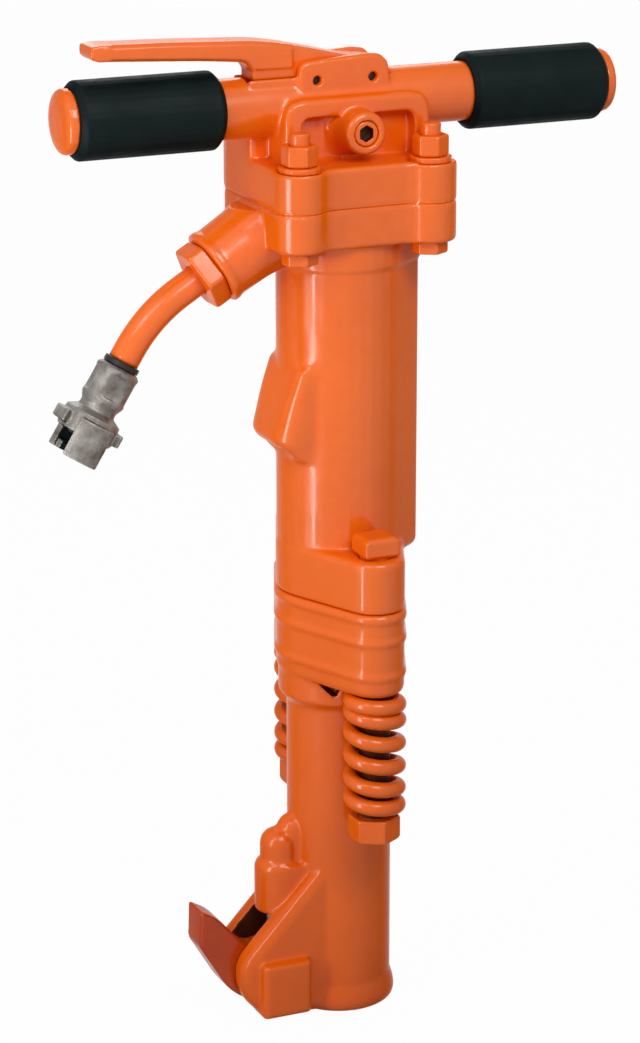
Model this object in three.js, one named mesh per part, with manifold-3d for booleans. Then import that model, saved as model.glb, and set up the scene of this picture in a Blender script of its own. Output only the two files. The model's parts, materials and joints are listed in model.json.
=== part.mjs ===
// Pneumatic breaker standing upright on its foot collar.
// Millimetres, +Z up, origin on the tool axis at the bottom of the fronthead.
// +X runs along the handle, away from the throttle lever; -Y is the side with the filler plug.
import * as THREE from 'three';
import { mergeVertices } from 'three/addons/utils/BufferGeometryUtils.js';
import Module from 'manifold-3d';

const wasm = await Module();
wasm.setup();

// Clearances
const SEAT_GAP = 0.3;        // between faces that rest on each other
const RUN_GAP = 0.3;         // radial, round pieces that slide or turn
const BOLT_GAP = 0.5;        // radial, round bolts in cast holes
const SIDE_GAP = 0.5;        // each side of a lever between its ears
const LEAST_STEP = 0.001;    // points of an outline nearer than this are one point
const OVERRUN = 3;           // how far a cut runs past the face that it opens
const EDGE_ROUND = 2.5;      // cast outer edges
const FINE_ROUND = 0.8;      // edges of small machined pieces

// Bands that the two side bolts pull together
const BAND_PROUD = 0.5;      // over the body above it
const LUG_CLEARANCE = 4;     // between the body and the bolt heads
const LUG_RADIUS = 20.5;

// Fronthead casting
const FRONTHEAD_LENGTH = 312.7;
const FRONT_BAND_HEIGHT = 61;
const BARREL_STEP = 6.8;      // from the body of the cylinder in to the barrel
const FOOT_BEAD_PROUD = 3.2;
const FOOT_BEAD_HEIGHT = 20;
const POCKET_WALL = 9.2;
const RIDGE_PROUD = 1.5;
const RIDGE_HEIGHT = 6.5;
const RIDGE_SHARES = [0.25, 0.66, 0.93];
const BAND_NECK_HEIGHT = 18;
const BAND_NECK_INSET = 1.5;
const BAND_NECK_SLOPE = 5;
const SPRING_ROOM = 2;       // radial, round the side springs

// Tool shank socket
const LINER_WALL = 10.75;      // round the flats of the bore
const CHUCK_BOTTOM = 80;
const CHUCK_WEB = 38;        // solid wall between the liner and the anvil seat
const CHUCK_WALL = 10.2;       // of the barrel round the liner
const CHUCK_LEAD_IN = 3;

// Latch, its ears and its plunger
const PIVOT_STAND = 19.8;     // from the barrel out to the pivot
const PIVOT_Z = 27;
const PIVOT_PIN_RADIUS = 8;
const PIN_SUNK = 1;
const LATCH_WIDTH = 26;
const LATCH_SPAN = 60;
const LATCH_PAD_SHARE = 0.4;
const HORN_CLEAR_RADIUS = 19.8;
const EAR_STAND = 50.8;       // from the barrel out to the tips of the ears
const EAR_HEIGHT = 118;
const EAR_HALF_WIDTH = 29.5;
const EAR_ROUND = 7.5;
const SLOT_TOP = 74.5;
const SLOT_FLOOR = 38;
const PAD_WIDTH = 37;
const PAD_HEIGHT = 41;
const PAD_RISE = 5;
const PAD_PROUD = 8.5;
const PAD_SHIFT = 1.5;
const PLUNGER_SHIFT = 10;     // from the pivot towards the barrel
const PLUNGER_RADIUS = 9;
const PLUNGER_LENGTH = 46;
const PLUNGER_ROOF = 127;
const HOUSING_RADIUS = 17.5;
const HOUSING_TOP = 113;
const DOME_RADIUS = 13.5;
const DOME_TOP = 136;
const DOME_HEIGHT = 11;
const FAIRING_RADIUS = 12;
const FAIRING_TOP = 145;
const FAIRING_STEP = 11;     // from the plunger towards the barrel
const PLUNGER_WIRE = 1.8;
const PLUNGER_SPRING_RADIUS = 6.8;
const PLUNGER_SPRING_TURNS = 4;

// Anvil and its bushing
const ANVIL_TRAVEL = 19;
const ANVIL_STEM_INSET = 16.2; // from the face of the barrel
const ANVIL_FLANGE_INSET = 8.2;
const ANVIL_FLANGE_HEIGHT = 21.4;
const ANVIL_TOP_INSET = 24;   // from the face of the body
const ANVIL_STEM_LENGTH = 36.9;
const ANVIL_SEAT_DEPTH = 62.7;
const BUSHING_INSET = 8;       // from the face of the body
const BUSHING_IN_CYLINDER = 23;

// Cylinder casting
const CYLINDER_LENGTH = 277.7;
const CYLINDER_BAND_HEIGHT = 37;
const BAND_SHOULDER = 4;
const BODY_RADIUS = 44;
const RIB_PROUD = 10;
const RIB_HALF_WIDTH = 18;
const RIB_CORNER = 8;
const RIB_DROP = 12;
const BORE_RADIUS = 33.35;
const NECK_HEIGHT = 19;
const NECK_PROUD = 1.6;
const CYLINDER_FLANGE = 27;
const CHEST_RADIUS = 36.5;
const HOOD_PROUD = 13.5;
const HOOD_HALF_WIDTH = 31;
const HOOD_CORNER = 15;
const HOOD_TOP = 165;
const HOOD_LIP = 112;
const HOOD_FOOT = 98;
const HOOD_WALL = 5;
const MOUTH_HEIGHT = 24;
const PORT_HEIGHT = 10;
const PORT_WIDTH = 34;

// Piston
const PISTON_LENGTH = 64;
const PISTON_GROOVE = 1.2;
const PISTON_GROOVE_HEIGHT = 3;

// Distributing valve and its chest
const CHEST_HALF = 22;
const VALVE_RADIUS = 24;
const VALVE_HEIGHT = 8;
const VALVE_TRAVEL = 4;
const CHEST_PORT_RADIUS = 12;

// Flanged joint of backhead and cylinder
const FLANGE_BOLT_X = 48;
const FLANGE_BOLT_Y = 42;
const LOBE_RADIUS = 18;
const WAIST_DEPTH = 9;
const WAIST_FILLET = 16;

// Backhead casting
const BACKHEAD_FLANGE = 28;
const HANDLE_RISE = 64;
const HANDLE_RADIUS = 20.5;
const HANDLE_HALF = 194;
const HANDLE_BORE = 14.3;
const HANDLE_BORE_DEPTH = 34;
const REAR_WALL_RISE = 46;
const HOUSE_LEFT = 52;
const HOUSE_RIGHT = 55;
const HOUSE_HALF_DEPTH = 28;
const HOUSE_TOP_RISE = 71;
const HOUSE_CORNER = 14;
const RECESS_RIM = 12;
const RECESS_CORNER = 8;
const RECESS_DEPTH = 10;
const BOSS_RADIUS = 14.7;
const BOSS_REACH = 45;
const BOSS_FLARE = 6;
const BOSS_RISE = 48.5;
const FILLER_HOLE_RADIUS = 9;
const FILLER_HOLE_DEPTH = 24;
const FILLER_SOCKET_FLATS = 10;
const FILLER_PLUG_LENGTH = 12;
const FILLER_PLUG_SUNK = 1;
const SPOTFACE_RADIUS = 17;
const SPOTFACE_DEPTH = 2;

// Yoke and throttle lever
const YOKE_LEFT = 37;
const YOKE_RIGHT = 30;
const YOKE_TOP = 34.5;
const YOKE_DROP = 4;           // of the yoke's top towards the lever
const YOKE_HALF_WIDTH = 17.5;
const YOKE_CORNER_LEFT = 7;
const YOKE_CORNER_RIGHT = 16;
const YOKE_SLOT_FLOOR = 5;
const LEVER_SLOT_FLOOR = 12.5;
const LEVER_SLOT_LEFT = 71;
const LEVER_PIVOT_X = 17;
const LEVER_STOP_X = -24;
const LEVER_PIN_Z = 17.5;
const LEVER_PIN_RADIUS = 3;
const LEVER_PIN_SUNK = 4.5;
const LEVER_WEB_WIDTH = 21;
const LEVER_WIDTH = 24;
const LEVER_REACH = 183;
const LEVER_RISE = 50;
const LEVER_STROKE = 2.6;
const LEVER_FOOT_GAP = 4;
const WEB_FOOT_GAP = 6.5;

// Throttle valve
const VALVE_X = -4;
const STEM_RADIUS = 4;
const POPPET_RADIUS = 9;
const POPPET_HEIGHT = 7;
const CHAMBER_RADIUS = 10.3;
const CHAMBER_TOP = 40;
const PLUG_HEIGHT = 9;
const PLUG_SUNK = 1;
const THROTTLE_WIRE = 1.6;
const THROTTLE_SPRING_RADIUS = 6.5;
const THROTTLE_SPRING_TURNS = 4;

// Rubber grips and end caps
const GRIP_RADIUS = 26.7;
const GRIP_LENGTH = 103;
const GRIP_ROUND = 4;
const END_CAP_RADIUS = 22;
const END_CAP_THICKNESS = 9.5;
const END_CAP_SPIGOT = 20;

// Fasteners
const FLANGE_BOLT_RADIUS = 7;
const FLANGE_HEAD_FLATS = 22;
const FLANGE_HEAD_HEIGHT = 8.7;
const FLANGE_NUT_FLATS = 22;
const FLANGE_NUT_HEIGHT = 14;
const FLANGE_STUD_PROUD = 8;
const WASHER_RADIUS = 14.5;
const WASHER_HEIGHT = 4;
const SIDE_BOLT_RADIUS = 11;
const SIDE_HEAD_WIDTH = 25;
const SIDE_HEAD_HEIGHT = 15;
const SIDE_NUT_FLATS = 32;
const SIDE_NUT_HEIGHT = 17;
const SIDE_BOLT_PROUD = 2;

// Side springs
const SIDE_SPRING_LENGTH = 91;
const SIDE_WIRE = 9.8;
const SIDE_SPRING_RADIUS = 17.4;
const SIDE_SPRING_TURNS = 4.5;

// Air inlet
const INLET_STAND = 50.5;     // from the body to the face of the boss
const INLET_DROP = 43.3;      // from the top of the cylinder to the face of the boss
const INLET_SLOPE = THREE.MathUtils.degToRad(31);
const INLET_BOSS_RADIUS = 25.7;
const INLET_BOSS_LENGTH = 52;
const INLET_BOSS_FLARE = 3;
const INLET_RIM_HEIGHT = 5;
const INLET_RIM_PROUD = 1.2;
const INLET_SPIGOT_RADIUS = 19;
const INLET_SEAT_DEPTH = 16;
const INLET_BORE_RADIUS = 10;
const INLET_BORE_DEPTH = 42;
const SWIVEL_NUT_FLATS = 42;
const SWIVEL_NUT_HEIGHT = 13;
const PIPE_RADIUS = 10.65;
const PIPE_BORE_RADIUS = 7.5;
const PIPE_COLLAR_RADIUS = 17;
const PIPE_COLLAR_HEIGHT = 6;
const PIPE_FIRST_RUN = 26;
const PIPE_BEND_RUN = 27.5;
const PIPE_LAST_RUN = 8;
const PIPE_END_DIRECTION = new THREE.Vector3(-0.53, 0, -0.85).normalize();

// Hose coupling
const THREAD_RING_RADIUS = 13;
const THREAD_RING_HEIGHT = 4;
const SHANK_RADIUS = 15.5;
const COUPLING_ROLL = THREE.MathUtils.degToRad(-82);
const COUPLING_SHANK = 27;
const COUPLING_NECK = 6;
const COUPLING_NECK_RADIUS = 13;
const COUPLING_HEAD = 19;
const COUPLING_HEAD_RADIUS = 20;
const COUPLING_BORE_RADIUS = 8;
const CLAW_REACH = 25;
const CLAW_LENGTH = 16;
const CLAW_HALF_ANGLE = THREE.MathUtils.degToRad(32);
const CLAW_THICKNESS = 6;
const GASKET_RADIUS = 11;
const GASKET_HEIGHT = 5;
const GASKET_PROUD = 1.5;

// Facet counts
const ROUND = 32;
const SMALL_ROUND = 16;
const CORNER_STEPS = 3;
const LOBE_STEPS = 4;
const INNER_ROUND = 20;
const WIRE_SIDES = 5;
const STEPS_PER_TURN = 8;
const BEND_STEPS = 3;

// Sizes and levels that follow from those above
const CYLINDER_Z = FRONTHEAD_LENGTH + SEAT_GAP;
const BAND_RADIUS = BODY_RADIUS + BAND_PROUD;
const BARREL_RADIUS = BODY_RADIUS - BARREL_STEP;
const POCKET_RADIUS = BARREL_RADIUS - POCKET_WALL;
const CHUCK_RADIUS = BARREL_RADIUS - CHUCK_WALL;
const ANVIL_STEM_RADIUS = BARREL_RADIUS - ANVIL_STEM_INSET;
const ANVIL_FLANGE_RADIUS = BARREL_RADIUS - ANVIL_FLANGE_INSET;
const BUSHING_RADIUS = BODY_RADIUS - BUSHING_INSET;
const ANVIL_TOP_RADIUS = BODY_RADIUS - ANVIL_TOP_INSET;
const SHANK_FLATS = 2 * (CHUCK_RADIUS - LINER_WALL);
const PIVOT_X = -BARREL_RADIUS - PIVOT_STAND;
const PLUNGER_X = PIVOT_X + PLUNGER_SHIFT;
const EAR_REACH = BARREL_RADIUS + EAR_STAND;
const LUG_OFFSET = BODY_RADIUS + LUG_CLEARANCE + SIDE_HEAD_WIDTH / 2;
const RIB_REACH = BODY_RADIUS + RIB_PROUD;
const HOOD_REACH = BODY_RADIUS + HOOD_PROUD;
const INLET_X = -BODY_RADIUS - INLET_STAND;
const INLET_Z = CYLINDER_LENGTH - INLET_DROP;
const BACKHEAD_Z = CYLINDER_Z + CYLINDER_LENGTH + SEAT_GAP;
const FRONT_BAND_Z = FRONTHEAD_LENGTH - FRONT_BAND_HEIGHT;
const HOLE_RADIUS = SIDE_BOLT_RADIUS + BOLT_GAP;
const CHEST_DEPTH = 2 * CHEST_HALF + 2 * SEAT_GAP;
const CHEST_CAVITY = (VALVE_HEIGHT + VALVE_TRAVEL) / 2 + SEAT_GAP;
const INLET_SPIGOT_LENGTH = INLET_SEAT_DEPTH - PIPE_COLLAR_HEIGHT - SEAT_GAP;
const ANVIL_SEAT_Z = FRONTHEAD_LENGTH - ANVIL_SEAT_DEPTH;
const CHUCK_TOP = ANVIL_SEAT_Z - CHUCK_WEB;
const CHUCK_LENGTH = CHUCK_TOP - CHUCK_BOTTOM;
const BUSHING_BOTTOM = ANVIL_SEAT_Z + SEAT_GAP + ANVIL_FLANGE_HEIGHT + ANVIL_TRAVEL + SEAT_GAP;
const BUSHING_TOP = CYLINDER_Z + BUSHING_IN_CYLINDER;
const ANVIL_BOTTOM = ANVIL_SEAT_Z + SEAT_GAP - ANVIL_STEM_LENGTH;
const PLUNGER_TIP_Z = PIVOT_Z + LATCH_SPAN * LATCH_PAD_SHARE + SEAT_GAP;
const PLUNGER_TOP = PLUNGER_TIP_Z + PLUNGER_LENGTH;
const POPPET_Z = CHAMBER_TOP - SEAT_GAP - POPPET_HEIGHT;
const LEVER_HUB = LEVER_PIN_Z - YOKE_SLOT_FLOOR - LEVER_FOOT_GAP;

const X_AXIS = new THREE.Vector3(1, 0, 0);
const Y_AXIS = new THREE.Vector3(0, 1, 0);
const Z_AXIS = new THREE.Vector3(0, 0, 1);

// Materials
const paint = new THREE.MeshStandardMaterial({ color: 0xe8621f, roughness: 0.32, metalness: 0.0 });
const rubber = new THREE.MeshStandardMaterial({ color: 0x1b2322, roughness: 0.7, metalness: 0.0 });
const castSteel = new THREE.MeshStandardMaterial({ color: 0x8f8a84, roughness: 0.5, metalness: 0.8 });
const machined = new THREE.MeshStandardMaterial({ color: 0xb4b6b8, roughness: 0.3, metalness: 0.9 });
const blackSteel = new THREE.MeshStandardMaterial({ color: 0x26262a, roughness: 0.5, metalness: 0.6 });

// Makes a solid from points and triangles, with its faces pointing out.
function sealed(points, faces) {
  const corner = [new THREE.Vector3(), new THREE.Vector3(), new THREE.Vector3()];
  let volume = 0;
  for (let face = 0; face < faces.length; face += 3) {
    corner.forEach((point, turn) => point.fromArray(points, faces[face + turn] * 3));
    volume += corner[0].dot(corner[1].cross(corner[2]));
  }
  if (volume < 0) {
    for (let face = 0; face < faces.length; face += 3) {
      [faces[face], faces[face + 1]] = [faces[face + 1], faces[face]];
    }
  }
  return new wasm.Manifold(new wasm.Mesh({
    numProp: 3, vertProperties: Float32Array.from(points), triVerts: Uint32Array.from(faces),
  }));
}

// Turns a closed three.js geometry into a solid.
function solid(geometry) {
  const bare = geometry.clone();
  bare.deleteAttribute('normal');
  bare.deleteAttribute('uv');
  const merged = mergeVertices(bare);
  const index = merged.index.array;
  const kept = [];
  for (let face = 0; face < index.length; face += 3) {
    const [a, b, c] = [index[face], index[face + 1], index[face + 2]];
    if (a !== b && b !== c && c !== a) {
      kept.push(a, b, c);
    }
  }
  return sealed(merged.attributes.position.array, kept);
}

// Turns a solid back into a geometry.
function geometryOf(body) {
  const mesh = body.getMesh();
  const geometry = new THREE.BufferGeometry();
  geometry.setAttribute('position', new THREE.BufferAttribute(mesh.vertProperties, mesh.numProp));
  geometry.setIndex(new THREE.BufferAttribute(mesh.triVerts, 1));
  geometry.computeVertexNormals();
  return geometry;
}

function moved(body, x, y, z) {
  return body.translate([x, y, z]);
}

// Turns a body from the Z axis to another direction and moves it to a point.
function aimed(body, direction, origin = new THREE.Vector3()) {
  const turn = new THREE.Quaternion().setFromUnitVectors(Z_AXIS, direction);
  const matrix = new THREE.Matrix4().compose(origin, turn, new THREE.Vector3(1, 1, 1));
  return body.transform(matrix.elements);
}

function joined(...bodies) {
  return bodies.reduce((whole, body) => whole.add(body));
}

function cut(body, ...tools) {
  return tools.reduce((rest, tool) => rest.subtract(tool), body);
}

// Revolves a profile of [radius, height] points about Z.
function revolved(profile, segments = ROUND) {
  const points = profile.map(([radius, height]) => new THREE.Vector2(radius, height));
  return solid(new THREE.LatheGeometry(points, segments).rotateX(Math.PI / 2));
}

// A drum along Z from z = 0, with an optional chamfer or rounding on both ends.
function drum(radius, length, segments = ROUND, edge = 0) {
  if (edge === 0) {
    return revolved([[0, 0], [radius, 0], [radius, length], [0, length]], segments);
  }
  return revolved([
    [0, 0], [radius - edge, 0], [radius, edge],
    [radius, length - edge], [radius - edge, length], [0, length],
  ], segments);
}

// A sleeve along Z from z = 0.
function sleeve(outer, inner, length, segments = ROUND, edge = 0) {
  const profile = [
    [inner, 0], [outer - edge, 0], [outer, edge],
    [outer, length - edge], [outer - edge, length], [inner, length], [inner, 0],
  ];
  return revolved(profile.filter((point, place) => edge > 0 || (place !== 2 && place !== 4)), segments);
}

// Points of an outline in straight steps, turning left, without repeated points.
function stepped(shape, divisions) {
  const points = shape.getPoints(divisions);
  const bare = points.filter((point, place) => {
    const before = points[(place + points.length - 1) % points.length];
    return point.distanceTo(before) > LEAST_STEP;
  });
  return THREE.ShapeUtils.isClockWise(bare) ? bare.reverse() : bare;
}

// Points moved inward by a depth. A step that would turn over shrinks to its middle.
function inset(points, depth) {
  const count = points.length;
  const at = (list, place) => list[(place + count) % count];
  const normal = (from, to) => new THREE.Vector2(from.y - to.y, to.x - from.x).normalize();
  const shrunk = points.map((point, place) => {
    const before = normal(at(points, place - 1), point);
    const after = normal(point, at(points, place + 1));
    const share = depth / (1 + before.dot(after));
    return point.clone().addScaledVector(before.add(after), share);
  });
  for (let pass = 0; pass < CORNER_STEPS; pass += 1) {
    points.forEach((point, place) => {
      const [from, to] = [at(shrunk, place), at(shrunk, place + 1)];
      if (to.clone().sub(from).dot(at(points, place + 1).clone().sub(point)) < 0) {
        const middle = from.clone().add(to).multiplyScalar(0.5);
        from.copy(middle);
        to.copy(middle);
      }
    });
  }
  return shrunk;
}

// An outline along Z from z = 0, with rounded top and bottom edges if edge is given.
function extruded(shape, length, edge = 0, divisions = CORNER_STEPS) {
  const points = stepped(shape, divisions);
  const round = edge > EDGE_ROUND ? [[0, edge], [edge * 0.3, edge * 0.3], [edge, 0]] : [[0, edge], [edge, 0]];
  const far = round.map(([z, depth]) => [length - z, depth]).reverse();
  const levels = edge > 0 ? [...round, ...far] : [[0, 0], [length, 0]];
  const rings = levels.map(([z, depth]) => (
    inset(points, depth).map((point) => new THREE.Vector3(point.x, point.y, z))
  ));
  return lofted(rings, THREE.ShapeUtils.triangulateShape(points, []));
}

// An outline drawn in X and Z, as thick as given and centred on y = 0.
function slab(shape, thickness, edge = 0) {
  return extruded(shape, thickness, edge).rotate([90, 0, 0]).translate([0, thickness / 2, 0]);
}

function block(x0, x1, y0, y1, z0, z1) {
  const geometry = new THREE.BoxGeometry(x1 - x0, y1 - y0, z1 - z0);
  return solid(geometry.translate((x0 + x1) / 2, (y0 + y1) / 2, (z0 + z1) / 2));
}

// A closed outline of [x, y, corner radius] points, each corner rounded by a curve.
function outline(points) {
  const shape = new THREE.Shape();
  const count = points.length;
  points.forEach(([x, y, radius = 0], place) => {
    const corner = new THREE.Vector2(x, y);
    const before = new THREE.Vector2(...points[(place + count - 1) % count]);
    const after = new THREE.Vector2(...points[(place + 1) % count]);
    const back = before.sub(corner);
    const ahead = after.sub(corner);
    const reach = Math.min(radius, back.length() / 2, ahead.length() / 2);
    const start = corner.clone().add(back.setLength(reach));
    const end = corner.clone().add(ahead.setLength(reach));
    if (place === 0) {
      shape.moveTo(start.x, start.y);
    } else {
      shape.lineTo(start.x, start.y);
    }
    if (reach > 0) {
      shape.quadraticCurveTo(x, y, end.x, end.y);
    }
  });
  shape.closePath();
  return shape;
}

// Skins a row of rings, each with as many points. The ends are closed with the given triangles of a
// ring, or else with a fan round its middle.
function lofted(rings, lid = null) {
  const count = rings[0].length;
  const positions = rings.flat().flatMap((point) => point.toArray());
  const faces = [];
  for (let row = 0; row + 1 < rings.length; row += 1) {
    for (let step = 0; step < count; step += 1) {
      const next = (step + 1) % count;
      const [a, b] = [row * count + step, row * count + next];
      const [c, d] = [a + count, b + count];
      faces.push(a, b, d, a, d, c);
    }
  }
  [rings[0], rings[rings.length - 1]].forEach((ring, end) => {
    const first = end * (rings.length - 1) * count;
    if (lid) {
      lid.forEach(([a, b, c]) => faces.push(first + a, first + (end === 0 ? c : b), first + (end === 0 ? b : c)));
      return;
    }
    const middle = ring.reduce((sum, point) => sum.add(point), new THREE.Vector3()).divideScalar(count);
    const hub = positions.length / 3;
    positions.push(...middle.toArray());
    for (let step = 0; step < count; step += 1) {
      const [a, b] = [first + step, first + (step + 1) % count];
      faces.push(hub, end === 0 ? b : a, end === 0 ? a : b);
    }
  });
  return sealed(positions, faces);
}

function ringOf(shape, z, divisions = CORNER_STEPS) {
  return stepped(shape, divisions).map((point) => new THREE.Vector3(point.x, point.y, z));
}

// A hexagonal prism from z = 0 with its corners turned down, and a bore if given.
function hexagon(flats, height, bore = 0) {
  const corner = flats / Math.sqrt(3);
  const prism = new THREE.CylinderGeometry(corner, corner, height, 6).rotateX(Math.PI / 2);
  const turned = drum((flats / 2 + corner * 2) / 3 + FINE_ROUND, height, 18, FINE_ROUND * 1.6);
  const body = solid(prism.translate(0, 0, height / 2)).intersect(turned);
  return bore > 0 ? cut(body, moved(drum(bore, height + 2 * OVERRUN, SMALL_ROUND), 0, 0, -OVERRUN)) : body;
}

// A coil spring along Z from z = 0. Both ends run straight for one wire, square to their seats.
function coilSpring(name, length, radius, wire, turns, startAngle) {
  const bend = wire * 0.62;
  const straight = wire;
  const angleOf = (along) => startAngle + along / radius;
  const steep = Math.PI / 2;
  const rise = length - 2 * straight - 2 * bend;
  const slope = Math.atan2(rise, turns * 2 * Math.PI * radius);
  const flat = [[0, 0], [0, straight]];
  for (let step = 1; step <= BEND_STEPS; step += 1) {
    const heading = steep + (slope - steep) * (step / BEND_STEPS);
    flat.push([bend * (1 - Math.sin(heading)), straight + bend * Math.cos(heading)]);
  }
  const [along0, height0] = flat[flat.length - 1];
  const coilRise = length - 2 * height0;
  const coilRun = coilRise / Math.tan(slope);
  const steps = Math.ceil(coilRun / (2 * Math.PI * radius) * STEPS_PER_TURN);
  for (let step = 1; step < steps; step += 1) {
    flat.push([along0 + coilRun * step / steps, height0 + coilRise * step / steps]);
  }
  const whole = 2 * along0 + coilRun;
  const mirrored = flat.slice(0, BEND_STEPS + 2).reverse();
  mirrored.forEach(([along, height]) => flat.push([whole - along, length - height]));
  const path = flat.map(([along, height]) => new THREE.Vector3(
    radius * Math.cos(angleOf(along)), radius * Math.sin(angleOf(along)), height,
  ));
  const rings = path.map((point, place) => {
    const ahead = path[Math.min(place + 1, path.length - 1)].clone().sub(point).normalize();
    const behind = point.clone().sub(path[Math.max(place - 1, 0)]).normalize();
    const heading = ahead.clone().add(behind).normalize();
    const outward = new THREE.Vector3(point.x, point.y, 0).normalize();
    const side = outward.clone().addScaledVector(heading, -outward.dot(heading)).normalize();
    const lift = heading.clone().cross(side);
    return Array.from({ length: WIRE_SIDES }, (_, turn) => {
      const angle = 2 * Math.PI * turn / WIRE_SIDES;
      return point.clone()
        .addScaledVector(side, Math.cos(angle) * wire / 2)
        .addScaledVector(lift, Math.sin(angle) * wire / 2);
    });
  });
  let least = Infinity;
  path.forEach((point, place) => {
    for (let other = place + Math.ceil(STEPS_PER_TURN * 0.6); other < path.length; other += 1) {
      least = Math.min(least, point.distanceTo(path[other]) - wire);
    }
  });
  console.log(`${name}: least gap of the wire to itself ${least.toFixed(2)} mm`);
  return lofted(rings);
}

const breaker = new THREE.Group();

function add(name, body, material, parent = breaker, position = new THREE.Vector3()) {
  const mesh = new THREE.Mesh(geometryOf(body), material.clone());
  mesh.name = name;
  mesh.position.copy(position);
  parent.add(mesh);
  return mesh;
}

// Outline of the oval band: a round body and two lugs, with straight tangents between them.
function bandOutline(offset = 0) {
  const lean = Math.asin((BAND_RADIUS - LUG_RADIUS) / LUG_OFFSET);
  const shape = new THREE.Shape();
  shape.absarc(0, 0, BAND_RADIUS + offset, -lean, lean);
  shape.absarc(0, LUG_OFFSET, LUG_RADIUS + offset, lean, Math.PI - lean);
  shape.absarc(0, 0, BAND_RADIUS + offset, Math.PI - lean, Math.PI + lean);
  shape.absarc(0, -LUG_OFFSET, LUG_RADIUS + offset, Math.PI + lean, 2 * Math.PI - lean);
  return shape;
}

function bandRing(z, offset) {
  return ringOf(bandOutline(offset), z, LOBE_STEPS);
}

function lugHoles(z0, z1) {
  const hole = drum(HOLE_RADIUS, z1 - z0, SMALL_ROUND);
  return joined(moved(hole, 0, LUG_OFFSET, z0), moved(hole, 0, -LUG_OFFSET, z0));
}

// Fronthead casting
function latchEars() {
  const shares = [
    [0, 0, 0], [0.7, 0, 0.06], [0.84, 0.06, 0.06], [0.95, 0.15, 0.06], [1, 0.28, 0.08],
    [0.975, 0.4, 0.08], [0.22, 1, 0.1], [0, 1, 0],
  ];
  const profile = shares.map(([x, z, round]) => [-x * EAR_REACH, z * EAR_HEIGHT, round * EAR_HEIGHT]);
  return slab(outline(profile), 2 * EAR_HALF_WIDTH, EAR_ROUND);
}

function pivotPads() {
  const left = PIVOT_X + PAD_SHIFT - PAD_WIDTH / 2;
  const shape = outline([
    [left, PAD_RISE, EDGE_ROUND], [left + PAD_WIDTH, PAD_RISE, EDGE_ROUND],
    [left + PAD_WIDTH, PAD_RISE + PAD_HEIGHT, EDGE_ROUND], [left, PAD_RISE + PAD_HEIGHT, EDGE_ROUND],
  ]);
  return slab(shape, 2 * (EAR_HALF_WIDTH + PAD_PROUD), EDGE_ROUND);
}

// Two-tier housing of the latch plunger, with a domed top.
function plungerHousing() {
  const bottom = SLOT_TOP - OVERRUN;
  const profile = [[0, bottom], [HOUSING_RADIUS, bottom], [HOUSING_RADIUS, HOUSING_TOP - EDGE_ROUND * 2]];
  profile.push([HOUSING_RADIUS - EDGE_ROUND * 0.7, HOUSING_TOP - EDGE_ROUND * 0.6], [DOME_RADIUS, HOUSING_TOP]);
  for (let step = 0; step <= LOBE_STEPS; step += 1) {
    const angle = (Math.PI / 2) * (step / LOBE_STEPS);
    profile.push([DOME_RADIUS * Math.cos(angle), DOME_TOP - DOME_HEIGHT * (1 - Math.sin(angle))]);
  }
  profile[profile.length - 1][0] = 0;
  return moved(revolved(profile, 28), PLUNGER_X, 0, 0);
}

// Rounded rib and shelf that tie the plunger housing to the barrel.
function housingFairing() {
  const profile = [[0, SLOT_TOP], [FAIRING_RADIUS, SLOT_TOP]];
  for (let step = 0; step <= LOBE_STEPS; step += 1) {
    const angle = (Math.PI / 2) * (step / LOBE_STEPS);
    profile.push([FAIRING_RADIUS * Math.cos(angle), FAIRING_TOP - FAIRING_RADIUS * (1 - Math.sin(angle))]);
  }
  profile[profile.length - 1][0] = 0;
  const shelf = block(PLUNGER_X, 0, -HOUSING_RADIUS, HOUSING_RADIUS, SLOT_TOP, HOUSING_TOP - EDGE_ROUND);
  return joined(moved(revolved(profile, SMALL_ROUND), PLUNGER_X + FAIRING_STEP, 0, 0), shelf);
}

// Round neck under the band, with room for the side springs.
function bandNeck() {
  const radius = BAND_RADIUS - BAND_NECK_INSET;
  const low = FRONT_BAND_Z - BAND_NECK_HEIGHT;
  const neck = revolved([
    [0, low - BAND_NECK_SLOPE], [BARREL_RADIUS - FINE_ROUND, low - BAND_NECK_SLOPE], [radius - EDGE_ROUND, low],
    [radius, low + EDGE_ROUND], [radius, FRONT_BAND_Z + OVERRUN], [0, FRONT_BAND_Z + OVERRUN],
  ], 48);
  const room = drum(SIDE_SPRING_RADIUS + SIDE_WIRE / 2 + SPRING_ROOM, BAND_NECK_HEIGHT + BAND_NECK_SLOPE, 24);
  const foot = low - BAND_NECK_SLOPE;
  return cut(neck, moved(room, 0, LUG_OFFSET, foot), moved(room, 0, -LUG_OFFSET, foot));
}

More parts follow.
